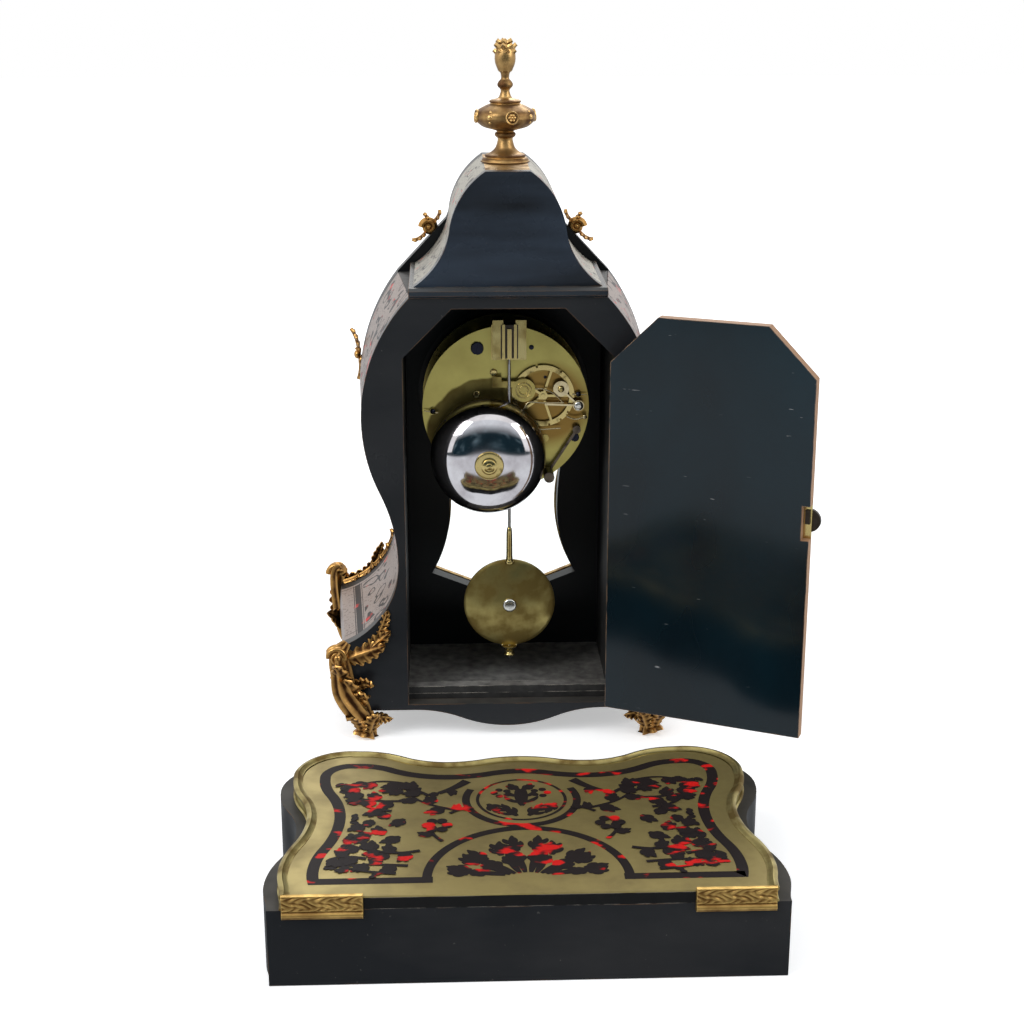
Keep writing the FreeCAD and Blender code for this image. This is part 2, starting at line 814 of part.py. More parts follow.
def small_mounts(front_form):
    """Rolled scrolls where the front arch meets the hood, and a leaf on each hip of the front."""
    run = FreeCAD.Vector(S.arch_half - S.front_shoulder_half, 0, S.arch_high - S.shoulder_high)
    out = FreeCAD.Vector(run.z, 0, -run.x)
    out.normalize()
    foot = FreeCAD.Vector(S.front_shoulder_half, 0, S.shoulder_high)
    scrolls = []
    for share, radius in ((S.scroll_share, S.scroll_r), (S.scroll_share + 0.2, S.scroll_small_r)):
        spot = foot + run * share + out * radius
        scrolls.append(disc(spot.x, spot.z, radius, FRONT - S.front_board_thick, S.front_board_thick))
    roll = scrolls[0].fuse(scrolls[1])
    across = (FreeCAD.Vector(0, 0, 0), FreeCAD.Vector(1, 0, 0))
    node(shaped("arch_scrolls_form", Part.makeCompound([roll, roll.mirror(*across)])), "arch_scrolls")
    x, y = S.front_hip_half - 1, FRONT - S.front_board_thick / 2
    blade = faceted([(x, y, S.hip_mount_high + up * S.hip_mount_half_long, wide * S.hip_mount_r)
                     for up, wide in ((-1, 0.2), (-0.8, 0.6), (-0.4, 0.92), (0, 1), (0.4, 0.92),
                                      (0.8, 0.6), (1, 0.2))])
    blade = blade.cut(front_form)
    blade = max(blade.Solids, key=lambda solid: solid.Volume)
    node(shaped("hip_mounts_form", Part.makeCompound([blade, blade.mirror(*across)])), "hip_mounts")


# ---------------------------------------------------------------- dial and front door

def dial():
    back = "case_deep / 2 - dial_recess"
    plate = bar("dial_disc", "0", back, "dial_high", "dial_r", "dial_thick")
    room = [bar("hand_room", "0", back + " - 1", "dial_high", "hand_hole_r", "dial_thick + 2")]
    for side in (-1, 1):
        room.append(bar("winding_room", f"{side} * barrel_x", back + " - 1", "barrel_high",
                        "winding_hole_r", "dial_thick + 2"))
    feet = []
    front_plate = MOVEMENT + " + 2 * plate_thick + plate_gap"
    for number in range(4):
        angle = f"dial_foot_turn + {90 * number}"
        feet.append(bar("dial_foot", f"dial_foot_ring_r * cos({angle})", front_plate,
                        f"dial_high + dial_foot_ring_r * sin({angle})", "dial_foot_r",
                        "case_deep - dial_recess - movement_set_in - 2 * plate_thick - plate_gap"))
    node(join("dial_plate_form", less("dial_pierced", plate, *room), *feet), "dial_plate")
    tablets = []
    front = FRONT - S.dial_recess + S.dial_thick
    for hour in range(12):
        oval = Part.Ellipse(FreeCAD.Vector(0, 0, 0), S.cartouche_half_high, S.cartouche_half_wide)
        tablet = Part.Face(Part.Wire([oval.toShape()])).extrude(FreeCAD.Vector(0, 0, S.cartouche_thick))
        tablet.rotate(FreeCAD.Vector(0, 0, 0), FreeCAD.Vector(1, 0, 0), -90)
        tablet.rotate(FreeCAD.Vector(0, 0, 0), FreeCAD.Vector(0, 1, 0), 90)
        tablet.translate(FreeCAD.Vector(0, front, S.cartouche_ring_r))
        tablet.rotate(FreeCAD.Vector(0, 0, 0), FreeCAD.Vector(0, 1, 0), 30 * hour)
        tablet.translate(FreeCAD.Vector(0, 0, S.dial_high))
        tablets.append(tablet)
    node(shaped("dial_cartouches_form", Part.makeCompound(tablets)), "dial_cartouches")


def lobed(low, corner, waist, join_half, radius):
    """Outline of the glazed door: curved foot, waist and a round top about the dial's centre."""
    outline = Outline(0, low)
    outline.line(*corner)
    outline.land_upright(*waist)
    drop = math.sqrt(radius ** 2 - join_half ** 2)
    outline.leave_upright(join_half, S.dial_high - drop)
    outline.round_on((0, S.dial_high), (radius, S.dial_high))
    outline.round_on((0, S.dial_high), (0, S.dial_high + radius))
    return outline.mirrored()


def front_door():
    back = FRONT + S.door_gap
    outer = lobed(S.door_frame_low, (S.door_frame_corner_half, S.door_frame_corner_high),
                  (S.door_frame_waist_half, S.glimpse_waist_high), S.door_frame_join_half,
                  S.door_frame_r)
    sight = lobed(S.door_sight_low, (S.door_sight_corner_half, S.door_sight_corner_high),
                  (S.door_sight_waist_half, S.glimpse_waist_high), S.door_sight_join_half,
                  S.door_sight_r)
    lap = S.glass_lap
    pane = lobed(S.door_sight_low - lap, (S.door_sight_corner_half + lap, S.door_sight_corner_high - 1),
                 (S.door_sight_waist_half + lap, S.glimpse_waist_high), S.door_sight_join_half + lap,
                 S.door_sight_r + lap)
    glass_back = back + S.glass_set_in
    glass = board(pane, glass_back, S.glass_thick)
    frame = board(outer, back, S.door_frame_thick).cut(board(sight, back - 1, S.door_frame_thick + 2))
    frame = frame.cut(board(pane, back - 1, S.glass_set_in + S.glass_thick + 1))
    pin_x = S.door_frame_r + S.front_pin_clear
    pin_y = FRONT + S.front_pin_out
    for high, edge in ((S.eye_high_up, S.door_frame_r), (S.eye_high_low, S.door_frame_corner_half)):
        eye = Part.makeCylinder(S.eye_r, S.eye_long, FreeCAD.Vector(pin_x, pin_y, high))
        start = edge - S.eye_tab_root
        tab = Part.makeBox(pin_x - start, S.eye_r * 1.4, S.eye_long,
                           FreeCAD.Vector(start, pin_y - S.eye_r * 0.7, high))
        frame = frame.fuse(eye).fuse(tab)
        bore = Part.makeCylinder(S.front_pin_r + S.pin_slip, S.eye_long + 2,
                                 FreeCAD.Vector(pin_x, pin_y, high - 1))
        frame = frame.cut(bore)
    frame = frame.cut(board(pane, back - 1, S.glass_set_in + S.glass_thick + 1))
    node(shaped("front_door_frame_form", frame), "front_door_frame")
    node(shaped("front_door_glass_form", glass), "front_door_glass")
    lugs = []
    for high in ("eye_high_up", "eye_high_low"):
        low = f"{high} - end_slip - lug_long"
        block = box("lug", "door_frame_r + front_pin_clear - eye_r * 0.9", "case_deep / 2", low,
                    "1.8 * eye_r", "front_pin_out + eye_r", "lug_long")
        pin = post("lug_pin", "door_frame_r + front_pin_clear", "case_deep / 2 + front_pin_out", low,
                   "front_pin_r", "lug_long + end_slip + eye_long + 1")
        lugs.append(join("front_lug", block, pin))
    node(group("front_hinge_lugs_form", *lugs), "front_hinge_lugs")


# ---------------------------------------------------------------- rear door

def rear_pin():
    """Where the rear door's hinge pins stand."""
    return FreeCAD.Vector(S.opening_half - 0.3, REAR - S.hinge_pin_out, 0)


def swung(solid):
    """Turn a piece drawn about the hinge pin, door closed, to where it stands open."""
    solid = solid.copy()
    solid.rotate(FreeCAD.Vector(0, 0, 0), FreeCAD.Vector(0, 0, 1), S.rear_door_open)
    solid.translate(rear_pin())
    return solid


def door_edge():
    """How far the free edge of the rear door stands from the hinge pin."""
    return -(S.opening_half - 0.3) - S.opening_half + S.rear_door_gap


def rear_door():
    gap = S.rear_door_gap
    free = door_edge()
    near = free + 2 * (S.opening_half - gap)
    low = S.opening_low + gap
    high = S.opening_high - gap
    cut_off = S.opening_corner - gap / 2
    outline = Outline(near, low)
    outline.line(near, high - cut_off)
    outline.line(near - cut_off, high)
    outline.line(free + cut_off, high)
    outline.line(free, high - cut_off)
    outline.line(free, S.latch_high + S.notch_tall / 2)
    outline.line(free + S.notch_deep, S.latch_high + S.notch_tall / 2)
    outline.line(free + S.notch_deep, S.latch_high - S.notch_tall / 2)
    outline.line(free, S.latch_high - S.notch_tall / 2)
    outline.line(free, low)
    panel = board(outline, S.hinge_pin_out, S.rear_door_thick)
    node(shaped("rear_door_panel_form", swung(panel)), "rear_door_panel")
    plate = Part.makeBox(S.notch_deep, S.latch_plate_thick, S.notch_tall,
                         FreeCAD.Vector(free, S.hinge_pin_out, S.latch_high - S.notch_tall / 2))
    stem_x = free + S.knob_inset
    hole = disc(stem_x, S.latch_high, S.knob_stem_r + S.pin_slip, 0, 20)
    node(shaped("latch_plate_form", swung(plate.cut(hole))), "latch_plate")
    outer = S.hinge_pin_out - S.end_slip
    knob = disc(stem_x, S.latch_high, S.knob_r, outer - S.knob_out * 0.4, S.knob_out * 0.4)
    dome = Part.makeCone(S.knob_r, S.knob_r * 0.6, S.knob_out * 0.6,
                         FreeCAD.Vector(stem_x, outer - S.knob_out * 0.4, S.latch_high),
                         FreeCAD.Vector(0, -1, 0))
    inner = S.hinge_pin_out + S.latch_plate_thick + S.end_slip
    stem = disc(stem_x, S.latch_high, S.knob_stem_r, outer - 1, inner + S.tongue_thick - outer + 1)
    tongue = Part.makeBox(2 * S.knob_stem_r, S.tongue_thick, S.tongue_long,
                          FreeCAD.Vector(stem_x - S.knob_stem_r, inner, S.latch_high - S.knob_stem_r))
    node(shaped("latch_knob_form", swung(knob.fuse([dome, stem, tongue]))), "latch_knob")
    fixed = []
    moving = []
    for high in (S.hinge_high_up, S.hinge_high_low):
        for number in range(3):
            base = FreeCAD.Vector(0, 0, high + number * S.hinge_knuckle)
            barrel = Part.makeCylinder(S.hinge_barrel_r, S.hinge_knuckle - S.end_slip, base)
            on_door = number == 1
            reach = -S.hinge_leaf_wide if on_door else 0
            leaf = Part.makeBox(S.hinge_leaf_wide, S.hinge_leaf_thick, S.hinge_knuckle - S.end_slip,
                                base + FreeCAD.Vector(reach, S.hinge_pin_out - S.hinge_leaf_thick, 0))
            piece = barrel.fuse(leaf)
            if on_door:
                bore = Part.makeCylinder(S.hinge_pin_r + S.pin_slip, S.hinge_knuckle + 2,
                                         base - FreeCAD.Vector(0, 0, 1))
                moving.append(swung(piece.cut(bore)))
            else:
                piece.translate(rear_pin())
                fixed.append(piece)
        pin = Part.makeCylinder(S.hinge_pin_r, 3 * S.hinge_knuckle - S.end_slip,
                                rear_pin() + FreeCAD.Vector(0, 0, high))
        lower, upper = fixed[-2:]
        fixed[-2:] = [pin.fuse([lower, upper])]
    node(shaped("rear_hinge_leaves_form", Part.makeCompound(fixed)), "rear_hinge_leaves")
    node(shaped("rear_door_knuckles_form", Part.makeCompound(moving)), "rear_door_knuckles")


# ---------------------------------------------------------------- movement: what stands still

def spots():
    """Centres and radii of the arbors that run in both plates."""
    thin = S.thin_arbor_r
    return [(0, S.dial_high, S.arbor_r), (-S.barrel_x, S.barrel_high, S.barrel_arbor_r),
            (S.barrel_x, S.barrel_high, S.barrel_arbor_r), (S.third_x, S.third_high, thin),
            (S.escape_x, S.escape_high, thin), (S.pendulum_x, S.pendulum_top, thin),
            (S.hammer_x, S.hammer_high, S.arbor_r)]


def pillar_spots():
    """Centres of the pillars: three pinned through the back plate, the last under its big screw."""
    ring = [(S.pillar_ring_r * math.cos(math.radians(angle)),
             S.dial_high + S.pillar_ring_r * math.sin(math.radians(angle))) for angle in (11, 182, 270)]
    return ring + [(S.big_screw_x, S.dial_high + S.big_screw_up)]


def movement_frame():
    back = REAR + S.movement_set_in
    front = back + S.plate_thick + S.plate_gap
    rear_plate = disc(0, S.dial_high, S.plate_r, back, S.plate_thick)
    front_plate = disc(0, S.dial_high, S.plate_r, front, S.plate_thick)
    for x, z, radius in spots():
        hole = disc(x, z, radius + S.pin_slip, back - 1, front - back + 2 * S.plate_thick + 2)
        rear_plate = rear_plate.cut(hole)
        front_plate = front_plate.cut(hole)
    stud = disc(S.motion_distance, S.dial_high, S.thin_arbor_r, front + S.plate_thick, 6)
    front_plate = front_plate.fuse(stud)
    count_hole = disc(S.count_x, S.count_high, S.arbor_r + S.pin_slip, back - 1, S.plate_thick + 2)
    lever_hole = disc(S.lever_x, S.lever_high, S.thin_arbor_r + S.pin_slip, back - 1, S.plate_thick + 2)
    rear_plate = rear_plate.cut(count_hole).cut(lever_hole)
    pillars = []
    for number, (x, z) in enumerate(pillar_spots()):
        stem = disc(x, z, S.pillar_r, back + S.plate_thick, S.plate_gap)
        if number < 3:
            end = disc(x, z, S.pillar_end_r, back + S.plate_thick - S.pillar_end_long,
                       S.pillar_end_long)
            rear_plate = rear_plate.cut(end)
            stem = stem.fuse(end)
        pillars.append(stem)
    node(shaped("movement_back_plate_form", rear_plate), "movement_back_plate")
    node(shaped("movement_front_plate_form", front_plate), "movement_front_plate")
    node(shaped("movement_pillars_form", Part.makeCompound(pillars)), "movement_pillars")


def suspension():
    """The brass block that grips the pendulum's spring, with a notch between two cheeks."""
    left = "pendulum_x - block_half"
    out = MOVEMENT + " - block_deep"
    block = box("block", left, out, "block_low", "2 * block_half", "block_deep",
                "block_high - block_low")
    notch = box("block_top_notch", "pendulum_x - block_notch / 2", out + " - 1",
                "block_high - block_notch_deep", "block_notch", "block_deep + 2",
                "block_notch_deep + 1")
    slot = box("block_spring_slot", "pendulum_x - block_slot / 2", out + " - 1", "block_low - 1",
               "block_slot", "block_deep - block_foot_deep + 1",
               "pendulum_top + spring_up + 1.5 - block_low")
    hollow = box("block_hub_room", "pendulum_x - crutch_hub_r - 1.5", MOVEMENT + " - block_foot_deep",
                 "block_low - 1", "2 * crutch_hub_r + 3", "block_foot_deep + 1",
                 "pendulum_top + crutch_hub_r + 2 - block_low")
    node(less("suspension_block_form", block, notch, slot, hollow), "suspension_block")


def bell_and_stand():
    rim = "bell_rim_out"
    corners = [("bell_r", rim), ("bell_r * 0.985", rim + " + bell_deep * 0.3"),
               ("bell_r * 0.9", rim + " + bell_deep * 0.6"),
               ("bell_r * 0.72", rim + " + bell_deep * 0.84"),
               ("bell_r * 0.42", rim + " + bell_deep * 0.97"), ("bell_washer_r", rim + " + bell_deep"),
               ("bell_post_r", rim + " + bell_deep"), ("bell_post_r", rim + " + bell_deep - bell_wall"),
               ("bell_washer_r", rim + " + bell_deep - bell_wall"),
               ("bell_r * 0.42", rim + " + bell_deep * 0.97 - bell_wall"),
               ("bell_r * 0.72 - bell_wall * 0.6", rim + " + bell_deep * 0.84 - bell_wall * 0.8"),
               ("bell_r * 0.9 - bell_wall * 0.9", rim + " + bell_deep * 0.6 - bell_wall * 0.4"),
               ("bell_r * 0.985 - bell_wall", rim + " + bell_deep * 0.3"),
               ("bell_r - bell_wall", rim)]
    stand = [("0", "0"), ("bell_shoulder_r", "0"),
             ("bell_shoulder_r", rim + " + bell_deep - bell_wall"),
             ("bell_post_r", rim + " + bell_deep - bell_wall"), ("bell_post_r", rim + " + bell_deep"),
             ("bell_washer_r", rim + " + bell_deep"),
             ("bell_washer_r", rim + " + bell_deep + bell_washer_thick"),
             ("bell_nut_r", rim + " + bell_deep + bell_washer_thick"),
             ("bell_nut_r", rim + " + bell_deep + bell_washer_thick + bell_nut_thick"),
             ("0", rim + " + bell_deep + bell_washer_thick + bell_nut_thick")]
    for label, outline in (("bell", corners), ("bell_stand", stand)):
        body = turned(label + "_form", outline, "bell_x", MOVEMENT, "bell_high", along_y=True)
        body.Placement.Rotation = FreeCAD.Rotation(FreeCAD.Vector(1, 0, 0), 90)
        node(body, label)


def small_fixings():
    """The screw heads and cap that show on the back plate, and the cock over the count wheel."""
    heads = []
    for number, (x, z, radius) in enumerate((("big_screw_x", "dial_high + big_screw_up", "screw_big_r"),
                                             ("small_screw_x", "small_screw_high", "screw_small_r"))):
        heads.append(bar(f"head_{number}", x, MOVEMENT + " - screw_head", z, radius, "screw_head"))
    node(group("plate_screws_form", *heads), "plate_screws")
    top = MOVEMENT + " - 5.5"
    foot = box("cock_foot", "cock_foot_x - 3", top, "cock_disc_high + 2", "6", "5.5", "7")
    arm = box("cock_arm", "cock_foot_x", top, "cock_disc_high + 2", "cock_disc_x - cock_foot_x", "2", "4")
    cap = bar("cock_disc", "cock_disc_x", top, "cock_disc_high", "cock_disc_r", "2")
    node(join("count_cock_form", foot, arm, cap), "count_cock")


# ---------------------------------------------------------------- movement: what turns

def arbor_lengths():
    """Start and length of an arbor that runs through both plates and ends flush behind."""
    back = REAR + S.movement_set_in
    return back - 0.6, S.plate_gap + 2 * S.plate_thick + 1.2


def wheel_with_arbor(label, x, z, wheel_r, up, thick, arbor_r, extra):
    """A wheel blank on its arbor; extra holds further round stages as radius, start, length."""
    back = REAR + S.movement_set_in + S.plate_thick
    start, long = arbor_lengths()
    solid = disc(x, z, arbor_r, start, long).fuse(disc(x, z, wheel_r, back + up, thick))
    for radius, low, length in extra:
        solid = solid.fuse(disc(x, z, radius, back + low, length))
    return node(shaped(label + "_form", solid), label)


def train():
    thin = S.thin_arbor_r
    hand_end = FRONT - S.dial_recess + 8
    start, long = arbor_lengths()
    inside = REAR + S.movement_set_in + S.plate_thick
    centre = disc(0, S.dial_high, S.arbor_r, start, hand_end - start)
    centre = centre.fuse(disc(0, S.dial_high, S.centre_wheel_r, inside + S.centre_wheel_up,
                              S.wheel_thick))
    node(shaped("centre_arbor_form", centre), "centre_arbor")
    wheel_with_arbor("third_wheel", S.third_x, S.third_high, S.third_wheel_r, S.third_wheel_up,
                     S.wheel_thick, thin, [(S.third_pinion_r, S.centre_wheel_up - 1,
                                            S.wheel_thick + 2)])
    escape = escape_wheel(inside + S.escape_wheel_up)
    escape = escape.fuse(disc(S.escape_x, S.escape_high, thin, start, long))
    escape = escape.fuse(disc(S.escape_x, S.escape_high, S.escape_pinion_r,
                              inside + S.third_wheel_up - 1, S.wheel_thick + 2))
    node(shaped("escape_wheel_form", escape), "escape_wheel")
    for side, label in ((-1, "going_barrel"), (1, "strike_barrel")):
        x = side * S.barrel_x
        square = FRONT - S.dial_recess + S.dial_thick - start
        solid = disc(x, S.barrel_high, S.barrel_arbor_r, start, square)
        solid = solid.fuse(disc(x, S.barrel_high, S.barrel_r, inside + S.barrel_up, S.barrel_long))
        node(shaped(label + "_form", solid), label)


def escape_wheel(y):
    """Thirty raked teeth round a crossed-out rim."""
    teeth = 30
    points = []
    for number in range(teeth):
        for radius, step in ((S.escape_wheel_r, 0.0), (S.escape_wheel_r - 2, 0.35),
                             (S.escape_wheel_r - 2, 0.95)):
            angle = math.tau * (number + step) / teeth
            points.append(FreeCAD.Vector(S.escape_x + radius * math.cos(angle), y,
                                         S.escape_high + radius * math.sin(angle)))
    blank = Part.Face(Part.makePolygon(points + points[:1])).extrude(FreeCAD.Vector(0, S.wheel_thick, 0))
    window = disc(S.escape_x, S.escape_high, S.escape_wheel_r - 3.6, y - 1, S.wheel_thick + 2)
    hub = disc(S.escape_x, S.escape_high, 2.2, y, S.wheel_thick)
    return blank.cut(window).fuse([hub] + spokes(S.escape_x, S.escape_high, y, S.wheel_thick,
                                                 S.escape_wheel_r - 3, 4, 1.4))


def spokes(x, z, y, thick, long, count, wide):
    """Straight spokes from a wheel's centre out to long."""
    arms = []
    for number in range(count):
        arm = Part.makeBox(long, thick, wide, FreeCAD.Vector(x, y, z - wide / 2))
        arm.rotate(FreeCAD.Vector(x, y, z), FreeCAD.Vector(0, 1, 0), 360 * number / count)
        arms.append(arm)
    return arms


def count_wheel():
    """The open strike wheel on the back plate: a notched rim, five spokes and its arbor."""
    y = REAR + S.movement_set_in - 1.2 - S.wheel_thick
    x, z = S.count_x, S.count_high
    rim = disc(x, z, S.count_r, y, S.wheel_thick)
    rim = rim.cut(disc(x, z, S.count_r - S.count_rim, y - 1, S.wheel_thick + 2))
    turn = 0
    for blows in range(1, 12):
        turn += 360 * (blows + 1) / 90
        notch = Part.makeBox(S.count_notch + 1, S.wheel_thick + 2, S.count_notch,
                             FreeCAD.Vector(x + S.count_r - S.count_notch, y - 1, z))
        notch.rotate(FreeCAD.Vector(x, y, z), FreeCAD.Vector(0, 1, 0), turn)
        rim = rim.cut(notch)
    back = REAR + S.movement_set_in
    arbor = disc(x, z, S.arbor_r, y - 1, back + S.plate_thick - y + 1)
    hub = disc(x, z, S.count_hub_r, y, S.wheel_thick)
    solid = rim.fuse([hub, arbor] + spokes(x, z, y, S.wheel_thick, S.count_r - S.count_rim / 2, 5,
                                           S.count_spoke))
    node(shaped("count_wheel_form", solid), "count_wheel")


def hammer():
    """The hammer that strikes the side of the bell, on an arbor at the plate's right."""
    back = REAR + S.movement_set_in
    start, long = arbor_lengths()
    x, z = S.hammer_x, S.hammer_high
    stand_off = S.bell_r + S.hammer_gap + S.hammer_head_r
    head_x = S.bell_x + stand_off * math.cos(math.radians(S.hammer_rest))
    head_z = S.bell_high + stand_off * math.sin(math.radians(S.hammer_rest))
    arbor = disc(x, z, S.arbor_r, back - 5, long + 4.4)
    hub = disc(x, z, S.arbor_r * 1.8, back - 5, 2)
    reach = math.hypot(head_x - x, head_z - z)
    arm = Part.makeBox(reach, 1.6, 1.6, FreeCAD.Vector(x, back - 4.8, z - 0.8))
    arm.rotate(FreeCAD.Vector(x, back, z), FreeCAD.Vector(0, 1, 0),
               -math.degrees(math.atan2(head_z - z, head_x - x)))
    head = disc(head_x, head_z, S.hammer_head_r, back - S.hammer_head_out, S.hammer_head_out - 3.2)
    node(shaped("hammer_form", arbor.fuse([hub, arm, head])), "hammer")


def locking_lever():
    """The bent steel lever that drops into the count wheel, with its round-headed arm."""
    back = REAR + S.movement_set_in
    y = back - 5
    pivot = FreeCAD.Vector(S.lever_x, y, S.lever_high)
    hub = disc(pivot.x, pivot.z, S.lever_hub_r, y - 0.8, 2.3)
    arbor = disc(pivot.x, pivot.z, S.thin_arbor_r, y, 5 + S.plate_thick)
    head = disc(S.lever_disc_x, S.lever_disc_high, S.lever_disc_r, y, S.lever_wire)
    solid = hub.fuse([arbor, head])
    for x, z in ((S.lever_disc_x, S.lever_disc_high), (S.count_x + 1, S.lever_high + 1)):
        reach = math.hypot(pivot.x - x, pivot.z - z)
        arm = Part.makeBox(reach, S.lever_wire, S.lever_wire,
                           FreeCAD.Vector(pivot.x, y, pivot.z - S.lever_wire / 2))
        arm.rotate(pivot, FreeCAD.Vector(0, 1, 0),
                   -math.degrees(math.atan2(z - pivot.z, x - pivot.x)))
        solid = solid.fuse(arm)
    node(shaped("locking_lever_form", solid), "locking_lever")


def crutch_and_pallets():
    """The pallets on their arbor between the plates, and the crutch that hangs outside."""
    back = REAR + S.movement_set_in
    x, top = S.pendulum_x, S.pendulum_top
    inside = back + S.plate_thick
    start, long = arbor_lengths()
    hub_y = back - S.block_foot_deep + 0.5
    half = S.crutch_wide / 2
    arbor = disc(x, top, S.thin_arbor_r, hub_y, start + long - hub_y)
    hub = disc(x, top, S.crutch_hub_r, hub_y, 2)
    out = back - S.pendulum_out + 2
    bend = S.block_low - 2.5
    drop = Part.makeBox(2 * half, S.crutch_thick, top - bend, FreeCAD.Vector(x - half, hub_y, bend))
    step = Part.makeBox(2 * half, hub_y + S.crutch_thick - out, 2,
                        FreeCAD.Vector(x - half, out, bend - 2))
    drop = drop.fuse(Part.makeBox(2 * half, S.crutch_thick, 2.1, FreeCAD.Vector(x - half, hub_y, bend - 2)))
    low = S.crutch_low
    arm = Part.makeBox(2 * half, S.crutch_thick, bend - low, FreeCAD.Vector(x - half, out, low))
    pin_r = 0.5
    gap = S.rod_r + S.fork_slip + pin_r
    fork = Part.makeBox(2 * gap + 2 * pin_r, S.crutch_thick, 3,
                        FreeCAD.Vector(x - gap - pin_r, out, low))
    pins = [disc(x + side * gap, low + 1.5, pin_r, out - 3, 3.2) for side in (-1, 1)]
    node(shaped("crutch_form", arbor.fuse([hub, drop, step, arm, fork] + pins)), "crutch")
    y = inside + S.escape_wheel_up
    ring = disc(x, top, S.thin_arbor_r + 2, y, S.wheel_thick)
    ring = ring.cut(disc(x, top, S.thin_arbor_r, y - 1, S.wheel_thick + 2))
    span = math.hypot(top - S.escape_high, x - S.escape_x)
    anchor = ring
    for side in (-1, 1):
        outline = [(side * 1.5, 1.5), (side * S.pallet_reach * 0.75, -4), (side * S.pallet_reach * 0.85, -10),
                   (side * (S.pallet_reach * 0.85 - 2), -11), (side * S.pallet_reach * 0.6, -6),
                   (side * 1.5, -1.8)]
        points = [FreeCAD.Vector(x + a, y, top + b) for a, b in outline]
        limb = Part.Face(Part.makePolygon(points + points[:1])).extrude(FreeCAD.Vector(0, S.wheel_thick, 0))
        anchor = anchor.fuse(limb.cut(disc(x, top, S.thin_arbor_r, y - 1, S.wheel_thick + 2)))
    lean = math.degrees(math.atan2(x - S.escape_x, top - S.escape_high))
    anchor.rotate(FreeCAD.Vector(x, y, top), FreeCAD.Vector(0, 1, 0), lean)
    room = disc(S.escape_x, S.escape_high, S.escape_wheel_r + 1.3, y - 1, S.wheel_thick + 2)
    anchor = anchor.cut(room)
    anchor = max(anchor.Solids, key=lambda solid: solid.Volume)
    node(shaped("pallets_form", anchor), "pallets")


def motion_work():
    """The minute wheel under the dial, the hour wheel and its pipe, and the two hands."""
    y = REAR + S.movement_set_in + 2 * S.plate_thick + S.plate_gap
    dial_back = FRONT - S.dial_recess
    x = S.motion_distance
    z = S.dial_high
    wheel = disc(x, z, S.motion_wheel_r, y + 0.6, S.wheel_thick)
    wheel = wheel.fuse(disc(x, z, S.motion_pinion_r, y + 2, 3.4))
    node(shaped("minute_wheel_form", wheel.cut(disc(x, z, S.thin_arbor_r + S.pin_slip, y - 1, 8))),
         "minute_wheel")
    pipe = disc(0, z, S.hour_wheel_r, y + 3.6, S.wheel_thick)
    hour_end = dial_back + S.dial_thick + 3.2
    pipe = pipe.fuse(disc(0, z, S.hour_pipe_r, y + 3.6, hour_end - y - 3.6))
    bore = disc(0, z, S.hour_pipe_bore, y, 30)
    pipe = pipe.cut(bore)
    hour = hand(S.hour_hand_long, S.hour_pipe_r + 1.5, hour_end, S.hour_hand_turn).cut(bore)
    node(shaped("hour_hand_form", pipe.fuse(hour)), "hour_hand")
    minute_y = hour_end + S.hand_thick + 0.8
    minute = hand(S.minute_hand_long, S.arbor_r + 2, minute_y, S.minute_hand_turn)
    minute = minute.fuse(disc(0, z, S.cannon_r, y + 0.6, S.wheel_thick))
    minute = minute.fuse(disc(0, z, S.cannon_pipe_r, y + 0.6, minute_y - y - 0.6))
    bore = disc(0, z, S.arbor_r + S.pin_slip, y, 40)
    node(shaped("minute_hand_form", minute.cut(bore)), "minute_hand")


def hand(long, boss_r, y, turn):
    """A pierced hand: boss, tapering arm with an open ring, and a point."""
    z = S.dial_high
    half = S.hand_wide / 2
    corners = [(-half * 0.7, 0), (-half * 0.5, long * 0.5), (-half * 1.3, long * 0.72), (0, long),
               (half * 1.3, long * 0.72), (half * 0.5, long * 0.5), (half * 0.7, 0)]
    points = [FreeCAD.Vector(a, y, z + b) for a, b in corners]
    arm = Part.Face(Part.makePolygon(points + points[:1])).extrude(FreeCAD.Vector(0, S.hand_thick, 0))
    solid = arm.fuse(disc(0, z, boss_r, y, S.hand_thick))
    ring = disc(0, z + long * 0.5, S.hand_wide, y, S.hand_thick)
    solid = solid.fuse(ring).cut(disc(0, z + long * 0.5, S.hand_wide * 0.55, y - 1, 4))
    solid.rotate(FreeCAD.Vector(0, y, z), FreeCAD.Vector(0, 1, 0), -turn)
    return solid


# ---------------------------------------------------------------- pendulum

